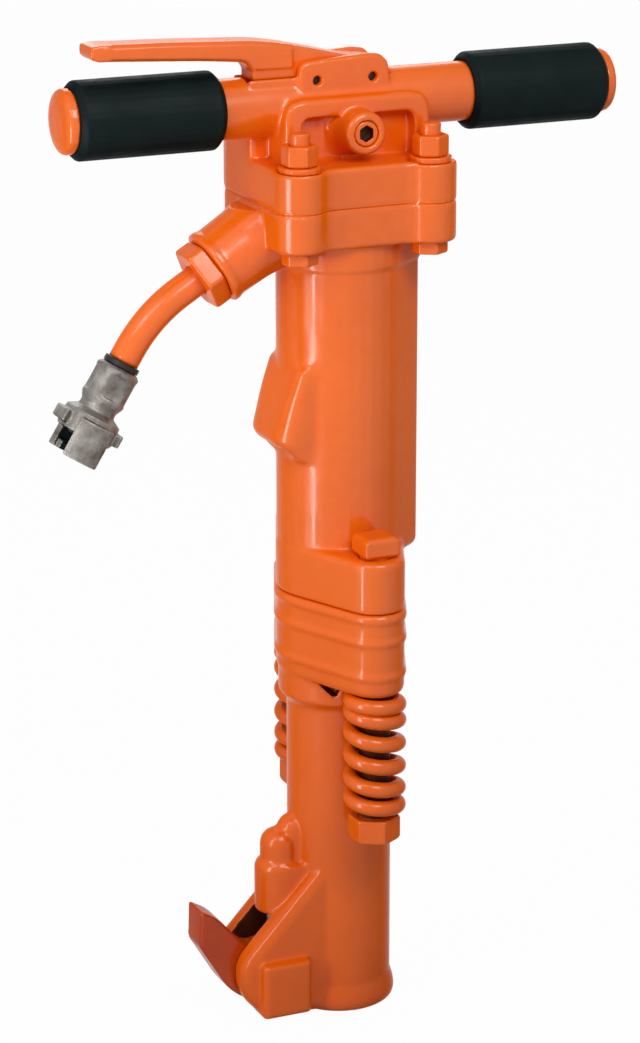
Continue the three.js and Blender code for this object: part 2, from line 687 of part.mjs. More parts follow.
function fronthead() {
  const bead = BARREL_RADIUS + FOOT_BEAD_PROUD;
  const barrel = revolved([
    [0, 0], [bead - FOOT_BEAD_PROUD * 1.2, 0], [bead - FOOT_BEAD_PROUD * 0.3, FOOT_BEAD_HEIGHT * 0.12],
    [bead, FOOT_BEAD_HEIGHT * 0.35], [bead - FOOT_BEAD_PROUD * 0.3, FOOT_BEAD_HEIGHT * 0.65],
    [BARREL_RADIUS, FOOT_BEAD_HEIGHT], [BARREL_RADIUS, FRONT_BAND_Z + OVERRUN], [0, FRONT_BAND_Z + OVERRUN],
  ], 48);
  const levels = [[0, -EDGE_ROUND * 1.6], [EDGE_ROUND * 0.8, -EDGE_ROUND * 0.5], [EDGE_ROUND * 2, 0]];
  RIDGE_SHARES.forEach((share) => {
    const middle = share * FRONT_BAND_HEIGHT;
    const half = RIDGE_HEIGHT / 2;
    levels.push([middle - half, 0], [middle - half * 0.4, RIDGE_PROUD]);
    levels.push([middle + half * 0.4, RIDGE_PROUD], [middle + half, 0]);
  });
  levels.push([FRONT_BAND_HEIGHT, -FINE_ROUND]);
  const band = lofted(levels.map(([z, offset]) => bandRing(FRONT_BAND_Z + z, offset)));
  const outer = joined(barrel, bandNeck(), band, latchEars(), pivotPads(), plungerHousing(), housingFairing());

  const bores = revolved([
    [0, -OVERRUN], [POCKET_RADIUS, -OVERRUN], [POCKET_RADIUS, CHUCK_BOTTOM - SEAT_GAP],
    [CHUCK_RADIUS + RUN_GAP, CHUCK_BOTTOM - SEAT_GAP], [CHUCK_RADIUS + RUN_GAP, CHUCK_TOP + SEAT_GAP],
    [ANVIL_STEM_RADIUS + RUN_GAP, CHUCK_TOP + SEAT_GAP], [ANVIL_STEM_RADIUS + RUN_GAP, ANVIL_SEAT_Z],
    [ANVIL_FLANGE_RADIUS + RUN_GAP, ANVIL_SEAT_Z],
    [ANVIL_FLANGE_RADIUS + RUN_GAP, BUSHING_BOTTOM - SEAT_GAP],
    [BUSHING_RADIUS + RUN_GAP, BUSHING_BOTTOM - SEAT_GAP],
    [BUSHING_RADIUS + RUN_GAP, FRONTHEAD_LENGTH + OVERRUN], [0, FRONTHEAD_LENGTH + OVERRUN],
  ], ROUND);
  const halfSlot = LATCH_WIDTH / 2 + SIDE_GAP;
  const wallFace = BARREL_RADIUS + SIDE_GAP;
  const slot = joined(
    block(-EAR_REACH - OVERRUN, -wallFace, -halfSlot, halfSlot, -OVERRUN, SLOT_TOP),
    block(-wallFace - OVERRUN, -POCKET_RADIUS / 2, -halfSlot, halfSlot, SLOT_FLOOR, SLOT_TOP),
  );
  const pinHole = aimed(
    drum(PIVOT_PIN_RADIUS + RUN_GAP, 2 * EAR_HALF_WIDTH + PAD_PROUD + OVERRUN, SMALL_ROUND),
    Y_AXIS,
    new THREE.Vector3(PIVOT_X, -EAR_HALF_WIDTH, PIVOT_Z),
  );
  const plungerBore = moved(
    drum(PLUNGER_RADIUS + RUN_GAP, PLUNGER_ROOF - SLOT_TOP + OVERRUN, SMALL_ROUND),
    PLUNGER_X, 0, SLOT_TOP - OVERRUN,
  );
  const holes = lugHoles(FRONT_BAND_Z - OVERRUN, FRONTHEAD_LENGTH + OVERRUN);
  return cut(outer, bores, slot, pinHole, plungerBore, holes);
}

// Hexagonal liner that guides the tool shank.
function chuckBushing() {
  const hex = SHANK_FLATS / Math.sqrt(3);
  const bore = new THREE.CylinderGeometry(hex, hex, CHUCK_LENGTH + 2 * OVERRUN, 6).rotateX(Math.PI / 2);
  const mouth = revolved([
    [0, -OVERRUN], [hex + CHUCK_LEAD_IN + OVERRUN, -OVERRUN], [hex - FINE_ROUND, CHUCK_LEAD_IN + FINE_ROUND],
    [0, CHUCK_LEAD_IN + FINE_ROUND],
  ], 24);
  return cut(
    drum(CHUCK_RADIUS, CHUCK_LENGTH, 24, FINE_ROUND), solid(bore.translate(0, 0, CHUCK_LENGTH / 2)), mouth,
  );
}

// Latch: foot lever on the left, horn under the shank collar on the right, drawn round its pivot.
function latch() {
  const shares = [
    [-0.917, 0.98, 0.03], [-0.933, 0.53, 0.05], [-0.567, -0.08, 0.15], [-0.35, -0.24, 0.1],
    [-0.1, -0.315, 0.1], [0.13, -0.3, 0.12], [0.29, -0.1, 0.12], [0.295, 0.1, 0.04],
    [0.3, 0.208, 0.02], [0.683, 0.208, 0.02], [0.683, LATCH_PAD_SHARE, 0.03], [0, LATCH_PAD_SHARE, 0.1],
    [-0.25, 0.36, 0.1], [-0.48, 0.6, 0.1], [-0.7, 0.86, 0.1],
  ];
  const profile = shares.map(([x, z, round]) => [x * LATCH_SPAN, z * LATCH_SPAN, round * LATCH_SPAN]);
  const body = slab(outline(profile), LATCH_WIDTH, EDGE_ROUND * 0.7);
  const horn = moved(drum(HORN_CLEAR_RADIUS, 2 * LATCH_SPAN, ROUND), -PIVOT_X, 0, -LATCH_SPAN);
  const pin = aimed(
    drum(PIVOT_PIN_RADIUS + RUN_GAP, LATCH_WIDTH + 2 * OVERRUN, SMALL_ROUND),
    Y_AXIS,
    new THREE.Vector3(0, -LATCH_WIDTH / 2 - OVERRUN, 0),
  );
  return cut(body, horn, pin);
}

// Round pin through both ears, its blind end behind the pad on the -Y side.
function latchPin() {
  const length = 2 * EAR_HALF_WIDTH + PAD_PROUD - SEAT_GAP - PIN_SUNK;
  return drum(PIVOT_PIN_RADIUS, length, SMALL_ROUND, FINE_ROUND);
}

// Plunger with a domed tip, drawn up from the tip.
function latchPlunger() {
  const profile = [];
  for (let step = 0; step <= LOBE_STEPS; step += 1) {
    const angle = (Math.PI / 2) * (step / LOBE_STEPS);
    profile.push([PLUNGER_RADIUS * Math.sin(angle), PLUNGER_RADIUS * (1 - Math.cos(angle))]);
  }
  profile.push([PLUNGER_RADIUS, PLUNGER_LENGTH], [0, PLUNGER_LENGTH]);
  return revolved(profile, SMALL_ROUND);
}

// Anvil between piston and tool shank, drawn up from its lower face.
function anvil() {
  const flange = ANVIL_SEAT_Z + SEAT_GAP - ANVIL_BOTTOM;
  const shoulder = flange + ANVIL_FLANGE_HEIGHT;
  const top = BUSHING_TOP - ANVIL_TRAVEL - ANVIL_BOTTOM;
  return revolved([
    [0, 0], [ANVIL_STEM_RADIUS - EDGE_ROUND, 0], [ANVIL_STEM_RADIUS, EDGE_ROUND],
    [ANVIL_STEM_RADIUS, flange], [ANVIL_FLANGE_RADIUS, flange],
    [ANVIL_FLANGE_RADIUS, shoulder - EDGE_ROUND], [ANVIL_FLANGE_RADIUS - EDGE_ROUND, shoulder],
    [ANVIL_TOP_RADIUS, shoulder], [ANVIL_TOP_RADIUS, top - EDGE_ROUND],
    [ANVIL_TOP_RADIUS - EDGE_ROUND, top], [0, top],
  ], INNER_ROUND);
}

function anvilBushing() {
  return sleeve(BUSHING_RADIUS, ANVIL_TOP_RADIUS + RUN_GAP, BUSHING_TOP - BUSHING_BOTTOM, INNER_ROUND, FINE_ROUND);
}

// Body section of the cylinder: round, drawn out on the side away from the inlet to a rounded rib.
function bodyOutline(offset = 0) {
  const reach = BODY_RADIUS + offset;
  const corner = RIB_CORNER + offset;
  const cornerX = RIB_REACH - RIB_CORNER;
  const cornerY = RIB_HALF_WIDTH - RIB_CORNER;
  const spread = Math.hypot(cornerX, cornerY);
  const lean = Math.atan2(cornerY, cornerX) + Math.acos((reach - corner) / spread);
  const quarter = (Math.PI - lean) / 2;
  const shape = new THREE.Shape();
  for (let turn = 0; turn < 4; turn += 1) {
    shape.absarc(0, 0, reach, lean + turn * quarter, lean + (turn + 1) * quarter);
  }
  shape.absarc(cornerX, -cornerY, corner, -lean, 0);
  shape.absarc(cornerX, cornerY, corner, 0, lean);
  shape.closePath();
  return shape;
}

// Flange outline with a lobe round each bolt and a filleted waist on the front and back.
function flangeOutline(offset = 0) {
  const lobe = LOBE_RADIUS + offset;
  const fillet = WAIST_FILLET - offset;
  const drop = LOBE_RADIUS - WAIST_DEPTH + WAIST_FILLET;
  const run = Math.sqrt((LOBE_RADIUS + WAIST_FILLET) ** 2 - drop ** 2);
  const lean = Math.atan2(drop, run);
  const filletX = FLANGE_BOLT_X - run;
  const filletY = FLANGE_BOLT_Y + drop;
  const shape = new THREE.Shape();
  shape.absarc(filletX, -filletY, fillet, Math.PI / 2, lean, true);
  shape.absarc(FLANGE_BOLT_X, -FLANGE_BOLT_Y, lobe, lean - Math.PI, 0);
  shape.absarc(FLANGE_BOLT_X, FLANGE_BOLT_Y, lobe, 0, Math.PI - lean);
  shape.absarc(filletX, filletY, fillet, -lean, -Math.PI / 2, true);
  shape.absarc(-filletX, filletY, fillet, -Math.PI / 2, lean - Math.PI, true);
  shape.absarc(-FLANGE_BOLT_X, FLANGE_BOLT_Y, lobe, lean, Math.PI);
  shape.absarc(-FLANGE_BOLT_X, -FLANGE_BOLT_Y, lobe, Math.PI, 2 * Math.PI - lean);
  shape.absarc(-filletX, -filletY, fillet, Math.PI - lean, Math.PI / 2, true);
  shape.closePath();
  return shape;
}

function flangeBoltPlaces() {
  const sides = [[-1, -1], [1, -1], [1, 1], [-1, 1]];
  return sides.map(([sideX, sideY]) => [sideX * FLANGE_BOLT_X, sideY * FLANGE_BOLT_Y]);
}

function boltHoles(z0, z1) {
  const hole = drum(FLANGE_BOLT_RADIUS + BOLT_GAP, z1 - z0, SMALL_ROUND);
  return joined(...flangeBoltPlaces().map(([x, y]) => moved(hole, x, y, z0)));
}

// Ring of the exhaust hood: a rounded block that reaches from inside the body to the given X.
function hoodRing(z, reach, halfWidth, inner, corner = HOOD_CORNER) {
  const shape = outline([
    [-inner, -halfWidth, 0], [-inner, halfWidth, 0],
    [-reach, halfWidth, corner], [-reach, -halfWidth, corner],
  ]);
  return ringOf(shape, z);
}

function exhaustHood() {
  const inner = BODY_RADIUS * 0.6;
  const step = EDGE_ROUND;
  return lofted([
    hoodRing(HOOD_FOOT, BODY_RADIUS - step, HOOD_HALF_WIDTH * 0.9, inner),
    hoodRing(HOOD_LIP - step, HOOD_REACH - step, HOOD_HALF_WIDTH - step * 0.4, inner),
    hoodRing(HOOD_LIP + step, HOOD_REACH, HOOD_HALF_WIDTH, inner),
    hoodRing((HOOD_LIP + HOOD_TOP) / 2, (HOOD_REACH + BODY_RADIUS) / 2, HOOD_HALF_WIDTH, inner),
    hoodRing(HOOD_TOP, BODY_RADIUS - step, HOOD_HALF_WIDTH, inner),
  ]);
}

// Hollow of the hood, open below, and the port that joins it to the bore.
function exhaustMouth() {
  const low = HOOD_FOOT - OVERRUN;
  const high = HOOD_LIP + MOUTH_HEIGHT;
  const wide = HOOD_HALF_WIDTH - HOOD_WALL * 1.6;
  const inner = BODY_RADIUS + SIDE_GAP;
  const corner = HOOD_WALL / 2;
  const mouth = lofted([
    hoodRing(low, HOOD_REACH - HOOD_WALL, wide, inner, corner),
    hoodRing(HOOD_LIP + HOOD_WALL, HOOD_REACH - HOOD_WALL, wide, inner, corner),
    hoodRing(high, BODY_RADIUS + HOOD_WALL / 2, wide, inner, corner),
  ]);
  const port = block(
    -BODY_RADIUS - HOOD_WALL, -BORE_RADIUS / 2, -PORT_WIDTH / 2, PORT_WIDTH / 2,
    HOOD_LIP, HOOD_LIP + PORT_HEIGHT,
  );
  return joined(mouth, port);
}

const inletOut = new THREE.Vector3(-Math.cos(INLET_SLOPE), 0, -Math.sin(INLET_SLOPE));
const inletFace = new THREE.Vector3(INLET_X, 0, INLET_Z);

function inletBoss() {
  const rim = INLET_BOSS_RADIUS + INLET_RIM_PROUD;
  const flare = INLET_BOSS_RADIUS + INLET_BOSS_FLARE;
  const boss = aimed(revolved([
    [0, 0], [rim - FINE_ROUND, 0], [rim, FINE_ROUND], [rim, INLET_RIM_HEIGHT],
    [INLET_BOSS_RADIUS, INLET_RIM_HEIGHT + INLET_RIM_PROUD],
    [INLET_BOSS_RADIUS + INLET_BOSS_FLARE * 0.3, INLET_BOSS_LENGTH * 0.55],
    [flare, INLET_BOSS_LENGTH * 0.85], [flare, INLET_BOSS_LENGTH], [0, INLET_BOSS_LENGTH],
  ], 36), inletOut.clone().negate(), inletFace);
  const above = block(
    2 * INLET_X, 0, INLET_X, -INLET_X, CYLINDER_LENGTH - EDGE_ROUND, CYLINDER_LENGTH + INLET_BOSS_LENGTH,
  );
  return cut(boss, above);
}

function inletBore() {
  const seat = INLET_SPIGOT_RADIUS + RUN_GAP;
  return aimed(revolved([
    [0, -OVERRUN], [seat, -OVERRUN], [seat, INLET_SEAT_DEPTH], [INLET_BORE_RADIUS, INLET_SEAT_DEPTH],
    [INLET_BORE_RADIUS, INLET_BORE_DEPTH], [0, INLET_BORE_DEPTH],
  ], 24), inletOut.clone().negate(), inletFace);
}

// Cylinder casting, drawn up from the joint with the fronthead.
function cylinder() {
  const flangeZ = CYLINDER_LENGTH - CYLINDER_FLANGE;
  const neckZ = flangeZ - NECK_HEIGHT;
  const band = lofted([
    bandRing(0, -FINE_ROUND), bandRing(FINE_ROUND, 0),
    bandRing(CYLINDER_BAND_HEIGHT - BAND_SHOULDER, 0),
    bandRing(CYLINDER_BAND_HEIGHT - BAND_SHOULDER * 0.3, -BAND_SHOULDER * 0.3),
    bandRing(CYLINDER_BAND_HEIGHT, -BAND_SHOULDER),
  ]);
  const bodyRing = (z, offset) => ringOf(bodyOutline(offset), z, LOBE_STEPS - 1);
  const foot = CYLINDER_BAND_HEIGHT - RIB_DROP;
  const body = lofted([
    bodyRing(foot, -EDGE_ROUND * 2), bodyRing(foot + EDGE_ROUND * 0.5, -EDGE_ROUND * 0.8),
    bodyRing(foot + EDGE_ROUND * 2, 0),
    bodyRing(neckZ, 0), bodyRing(neckZ + NECK_PROUD, NECK_PROUD),
    bodyRing(flangeZ + OVERRUN, NECK_PROUD),
  ]);
  const flangeRing = (z, offset) => ringOf(flangeOutline(offset), z, LOBE_STEPS);
  const flange = lofted([
    flangeRing(flangeZ, -EDGE_ROUND * 0.6), flangeRing(flangeZ + EDGE_ROUND * 0.6, 0),
    flangeRing(CYLINDER_LENGTH - FINE_ROUND, 0), flangeRing(CYLINDER_LENGTH, -FINE_ROUND),
  ]);
  const outer = joined(band, body, flange, inletBoss(), exhaustHood());
  const bores = revolved([
    [0, -OVERRUN], [BUSHING_RADIUS + RUN_GAP, -OVERRUN],
    [BUSHING_RADIUS + RUN_GAP, BUSHING_IN_CYLINDER + SEAT_GAP], [BORE_RADIUS, BUSHING_IN_CYLINDER + SEAT_GAP],
    [BORE_RADIUS, CYLINDER_LENGTH - CHEST_DEPTH], [CHEST_RADIUS + RUN_GAP, CYLINDER_LENGTH - CHEST_DEPTH],
    [CHEST_RADIUS + RUN_GAP, CYLINDER_LENGTH + OVERRUN], [0, CYLINDER_LENGTH + OVERRUN],
  ], ROUND);
  const headRoom = drum(FLANGE_HEAD_FLATS / Math.sqrt(3) + BOLT_GAP, FLANGE_HEAD_HEIGHT + OVERRUN, 24);
  const roomZ = flangeZ - FLANGE_HEAD_HEIGHT - OVERRUN;
  return cut(
    outer, bores, inletBore(), exhaustMouth(), lugHoles(-OVERRUN, CYLINDER_BAND_HEIGHT + OVERRUN),
    boltHoles(flangeZ - OVERRUN, CYLINDER_LENGTH + OVERRUN),
    ...flangeBoltPlaces().map(([x, y]) => moved(headRoom, x, y, roomZ)),
  );
}

// Piston with two oil grooves, drawn up from its striking face.
function piston() {
  const radius = BORE_RADIUS - RUN_GAP;
  const profile = [[0, 0], [radius - EDGE_ROUND, 0], [radius, EDGE_ROUND]];
  [0.25, 0.7].forEach((share) => {
    const z = share * PISTON_LENGTH;
    profile.push([radius, z], [radius - PISTON_GROOVE, z]);
    profile.push([radius - PISTON_GROOVE, z + PISTON_GROOVE_HEIGHT], [radius, z + PISTON_GROOVE_HEIGHT]);
  });
  profile.push([radius, PISTON_LENGTH - EDGE_ROUND], [radius - EDGE_ROUND, PISTON_LENGTH], [0, PISTON_LENGTH]);
  return revolved(profile, INNER_ROUND);
}

// Half of the valve chest: a cup with its open side up.
function chestHalf(height, depth) {
  const cavity = VALVE_RADIUS + RUN_GAP;
  return revolved([
    [CHEST_PORT_RADIUS, 0], [CHEST_RADIUS, 0], [CHEST_RADIUS, height], [cavity, height],
    [cavity, height - depth], [CHEST_PORT_RADIUS, height - depth], [CHEST_PORT_RADIUS, 0],
  ], INNER_ROUND);
}

function distributingValve() {
  return sleeve(VALVE_RADIUS, CHEST_PORT_RADIUS * 0.6, VALVE_HEIGHT, INNER_ROUND, FINE_ROUND);
}

// Backhead casting, drawn up from the joint with the cylinder.
function backhead() {
  const flangeRing = (z, offset) => ringOf(flangeOutline(offset), z, LOBE_STEPS);
  const flange = lofted([
    flangeRing(0, -FINE_ROUND), flangeRing(FINE_ROUND, 0),
    flangeRing(BACKHEAD_FLANGE - EDGE_ROUND, 0),
    flangeRing(BACKHEAD_FLANGE - EDGE_ROUND * 0.3, -EDGE_ROUND * 0.3),
    flangeRing(BACKHEAD_FLANGE, -EDGE_ROUND),
  ]);
  const back = FLANGE_BOLT_Y + LOBE_RADIUS;
  const side = FLANGE_BOLT_X + LOBE_RADIUS;
  const rearShape = outline([
    [-side, 0, EDGE_ROUND * 2], [side, 0, EDGE_ROUND * 2],
    [side, back, LOBE_RADIUS], [-side, back, LOBE_RADIUS],
  ]);
  const rear = extruded(rearShape, REAR_WALL_RISE, EDGE_ROUND);
  const floor = BACKHEAD_FLANGE - OVERRUN;
  const houseShape = outline([
    [-HOUSE_LEFT, floor, 0], [HOUSE_RIGHT, floor, 0],
    [HOUSE_RIGHT, HOUSE_TOP_RISE, HOUSE_CORNER], [-HOUSE_LEFT, HOUSE_TOP_RISE, HOUSE_CORNER],
  ]);
  const house = slab(houseShape, 2 * HOUSE_HALF_DEPTH, EDGE_ROUND);
  const recessShape = outline([
    [RECESS_RIM - HOUSE_LEFT, floor - OVERRUN, 0], [HOUSE_RIGHT - RECESS_RIM, floor - OVERRUN, 0],
    [HOUSE_RIGHT - RECESS_RIM, HOUSE_TOP_RISE - RECESS_RIM, RECESS_CORNER],
    [RECESS_RIM - HOUSE_LEFT, HOUSE_TOP_RISE - RECESS_RIM, RECESS_CORNER],
  ]);
  const recessDepth = RECESS_DEPTH + OVERRUN;
  const recess = moved(slab(recessShape, recessDepth), 0, recessDepth / 2 - HOUSE_HALF_DEPTH - OVERRUN, 0)
    .subtract(block(-HOUSE_LEFT, HOUSE_RIGHT, -2 * HOUSE_HALF_DEPTH, 0, 0, BACKHEAD_FLANGE));
  const frontward = new THREE.Vector3(0, -1, 0);
  const root = HOUSE_HALF_DEPTH - RECESS_DEPTH;
  const boss = aimed(revolved([
    [0, 0], [BOSS_RADIUS + BOSS_FLARE, 0], [BOSS_RADIUS + BOSS_FLARE, root],
    [BOSS_RADIUS + BOSS_FLARE * 0.5, root + BOSS_FLARE * 0.5],
    [BOSS_RADIUS + BOSS_FLARE * 0.2, root + BOSS_FLARE],
    [BOSS_RADIUS, root + BOSS_FLARE * 2], [BOSS_RADIUS, BOSS_REACH - EDGE_ROUND],
    [BOSS_RADIUS - EDGE_ROUND * 0.3, BOSS_REACH - EDGE_ROUND * 0.3], [BOSS_RADIUS - EDGE_ROUND, BOSS_REACH],
    [0, BOSS_REACH],
  ], 28), frontward, new THREE.Vector3(0, 0, BOSS_RISE));
  const bar = aimed(
    drum(HANDLE_RADIUS, 2 * HANDLE_HALF, ROUND), X_AXIS, new THREE.Vector3(-HANDLE_HALF, 0, HANDLE_RISE),
  );
  const yokeShape = outline([
    [-YOKE_LEFT, 0, 0], [YOKE_RIGHT, 0, 0],
    [YOKE_RIGHT, YOKE_TOP, YOKE_CORNER_RIGHT], [-YOKE_LEFT, YOKE_TOP - YOKE_DROP, YOKE_CORNER_LEFT],
  ]);
  const yoke = moved(slab(yokeShape, 2 * YOKE_HALF_WIDTH, EDGE_ROUND * 0.6), 0, 0, HANDLE_RISE);
  const outer = joined(flange, rear, cut(house, recess), boss, bar, yoke);

  const half = LEVER_WEB_WIDTH / 2 + SIDE_GAP;
  const top = HANDLE_RISE + YOKE_TOP + OVERRUN;
  const leverSlot = joined(
    block(-YOKE_LEFT + SIDE_GAP, YOKE_RIGHT + OVERRUN, -half, half, HANDLE_RISE + YOKE_SLOT_FLOOR, top),
    block(-LEVER_SLOT_LEFT, YOKE_RIGHT, -half, half, HANDLE_RISE + LEVER_SLOT_FLOOR, top),
  );
  const pinHole = aimed(drum(LEVER_PIN_RADIUS + RUN_GAP, 2 * YOKE_HALF_WIDTH + 2 * OVERRUN, 16), Y_AXIS);
  const pinLevel = HANDLE_RISE + LEVER_PIN_Z;
  const pinHoles = joined(
    moved(pinHole, LEVER_PIVOT_X, -YOKE_HALF_WIDTH - OVERRUN, pinLevel),
    moved(pinHole, LEVER_STOP_X, -YOKE_HALF_WIDTH - OVERRUN, pinLevel),
  );
  const bore = drum(HANDLE_BORE, HANDLE_BORE_DEPTH + OVERRUN, 24);
  const barBores = joined(
    aimed(bore, X_AXIS, new THREE.Vector3(HANDLE_HALF - HANDLE_BORE_DEPTH, 0, HANDLE_RISE)),
    aimed(bore, X_AXIS.clone().negate(), new THREE.Vector3(HANDLE_BORE_DEPTH - HANDLE_HALF, 0, HANDLE_RISE)),
  );
  const valveBore = moved(revolved([
    [0, -OVERRUN], [CHAMBER_RADIUS, -OVERRUN], [CHAMBER_RADIUS, CHAMBER_TOP],
    [STEM_RADIUS + RUN_GAP, CHAMBER_TOP], [STEM_RADIUS + RUN_GAP, top], [0, top],
  ], SMALL_ROUND), VALVE_X, 0, 0);
  const fillerHole = aimed(
    drum(FILLER_HOLE_RADIUS, FILLER_HOLE_DEPTH + OVERRUN, SMALL_ROUND), frontward,
    new THREE.Vector3(0, FILLER_HOLE_DEPTH - BOSS_REACH, BOSS_RISE),
  );
  const spot = drum(SPOTFACE_RADIUS, SPOTFACE_DEPTH + OVERRUN, 24);
  const spots = flangeBoltPlaces().map(([x, y]) => moved(spot, x, y, nutSeat(y)));
  return cut(
    outer, leverSlot, pinHoles, barBores, valveBore, fillerHole, ...spots,
    boltHoles(-OVERRUN, REAR_WALL_RISE + OVERRUN),
  );
}

// Level of the washer seat on the backhead, higher at the rear bolts.
function nutSeat(y) {
  return (y < 0 ? BACKHEAD_FLANGE : REAR_WALL_RISE) - SPOTFACE_DEPTH;
}

// Throttle lever, drawn round its pivot.
function throttleLever() {
  const tip = -LEVER_REACH - LEVER_PIVOT_X;
  const top = LEVER_RISE - LEVER_PIN_Z;
  const paddle = [
    [1, 0.84, 0.06], [0.955, 1, 0.4], [0.72, 0.965, 2], [0.4, 0.875, 2], [0.274, 0.74, 0.4],
    [0.274, 0.23, 0.2], [0.425, 0.23, 0.4], [0.445, 0.44, 2], [0.6, 0.53, 2], [0.955, 0.66, 0.5],
  ];
  const paddleShape = outline(paddle.map(([x, z, round]) => [x * tip, z * top, round * EDGE_ROUND * 2]));
  const handle = slab(paddleShape, LEVER_WIDTH, EDGE_ROUND);
  const hub = LEVER_HUB;
  const webLeft = LEVER_SLOT_LEFT + LEVER_PIVOT_X - OVERRUN;
  const webFoot = LEVER_PIN_Z - LEVER_SLOT_FLOOR - WEB_FOOT_GAP;
  const stopLeft = YOKE_LEFT + LEVER_PIVOT_X - OVERRUN;
  const webShape = outline([
    [hub, -hub, hub], [-stopLeft, -hub, FINE_ROUND], [-stopLeft, -webFoot, 0],
    [-webLeft, -webFoot, FINE_ROUND], [-webLeft, top * 0.3, FINE_ROUND],
    [tip * 0.4, top * 0.6, 0], [tip * 0.275, top * 0.735, EDGE_ROUND], [tip * 0.18, top * 0.6, EDGE_ROUND * 3],
    [tip * 0.09, top * 0.46, EDGE_ROUND * 3], [hub, top * 0.41, hub],
  ]);
  const web = slab(webShape, LEVER_WEB_WIDTH, FINE_ROUND);
  const hole = aimed(drum(LEVER_PIN_RADIUS + RUN_GAP, LEVER_WIDTH + 2 * OVERRUN, 16), Y_AXIS);
  const through = -LEVER_WIDTH / 2 - OVERRUN;
  const stopX = LEVER_STOP_X - LEVER_PIVOT_X;
  const holes = joined(
    moved(hole, 0, through, 0), moved(hole, stopX, through, 0), moved(hole, stopX, through, LEVER_STROKE),
    block(
      stopX - LEVER_PIN_RADIUS - RUN_GAP, stopX + LEVER_PIN_RADIUS + RUN_GAP, through, -through, 0, LEVER_STROKE,
    ),
  );
  return cut(joined(handle, web), holes);
}

function leverPin() {
  return drum(LEVER_PIN_RADIUS, 2 * (YOKE_HALF_WIDTH - LEVER_PIN_SUNK), 16, FINE_ROUND / 2);
}

// Throttle poppet with its long stem, drawn up from the poppet's lower face.
function throttleValve() {
  const top = HANDLE_RISE + LEVER_PIN_Z - LEVER_HUB - SEAT_GAP - POPPET_Z;
  return revolved([
    [0, 0], [POPPET_RADIUS, 0], [POPPET_RADIUS, POPPET_HEIGHT - FINE_ROUND * 2],
    [POPPET_RADIUS - FINE_ROUND * 2, POPPET_HEIGHT], [STEM_RADIUS, POPPET_HEIGHT],
    [STEM_RADIUS, top - FINE_ROUND], [STEM_RADIUS - FINE_ROUND, top], [0, top],
  ], SMALL_ROUND);
}

function throttleValvePlug() {
  const socket = new THREE.CylinderGeometry(STEM_RADIUS, STEM_RADIUS, PLUG_HEIGHT, 6).rotateX(Math.PI / 2);
  return cut(drum(CHAMBER_RADIUS - RUN_GAP, PLUG_HEIGHT, SMALL_ROUND, FINE_ROUND), solid(socket));
}

// Socket plug of the oil reservoir, drawn outward from its inner end.
function fillerPlug() {
  const corner = FILLER_SOCKET_FLATS / Math.sqrt(3);
  const socket = new THREE.CylinderGeometry(corner, corner, FILLER_PLUG_LENGTH, 6).rotateX(Math.PI / 2);
  const body = drum(FILLER_HOLE_RADIUS - RUN_GAP, FILLER_PLUG_LENGTH, SMALL_ROUND, FINE_ROUND);
  return cut(body, solid(socket.translate(0, 0, FILLER_PLUG_LENGTH)));
}

function grip() {
  return sleeve(GRIP_RADIUS, HANDLE_RADIUS + RUN_GAP, GRIP_LENGTH, ROUND, GRIP_ROUND);
}

// Domed plug that closes the end of the handle tube, drawn outward from its spigot.
function endCap() {
  const shoulder = END_CAP_SPIGOT;
  const rim = shoulder + END_CAP_THICKNESS * 0.45;
  const spigot = HANDLE_BORE - RUN_GAP;
  const profile = [[0, 0], [spigot, 0], [spigot, shoulder], [END_CAP_RADIUS, shoulder]];
  profile.push([END_CAP_RADIUS, rim]);
  for (let step = 1; step <= LOBE_STEPS; step += 1) {
    const angle = (Math.PI / 2) * (step / LOBE_STEPS);
    profile.push([END_CAP_RADIUS * Math.cos(angle) ** 0.6, rim + END_CAP_THICKNESS * 0.55 * Math.sin(angle)]);
  }
  profile[profile.length - 1][0] = 0;
  return revolved(profile, 24);
}

// Hexagonal swivel nut with the spigot that screws into the boss, drawn outward from its seat.
function swivelNut() {
  const bore = moved(
    drum(PIPE_RADIUS + RUN_GAP, SWIVEL_NUT_HEIGHT + INLET_SPIGOT_LENGTH + 2 * OVERRUN, 24),
    0, 0, -INLET_SPIGOT_LENGTH - OVERRUN,
  );
  const spigot = moved(drum(INLET_SPIGOT_RADIUS, INLET_SPIGOT_LENGTH + OVERRUN, 28), 0, 0, -INLET_SPIGOT_LENGTH);
  return cut(joined(hexagon(SWIVEL_NUT_FLATS, SWIVEL_NUT_HEIGHT), spigot), bore);
}

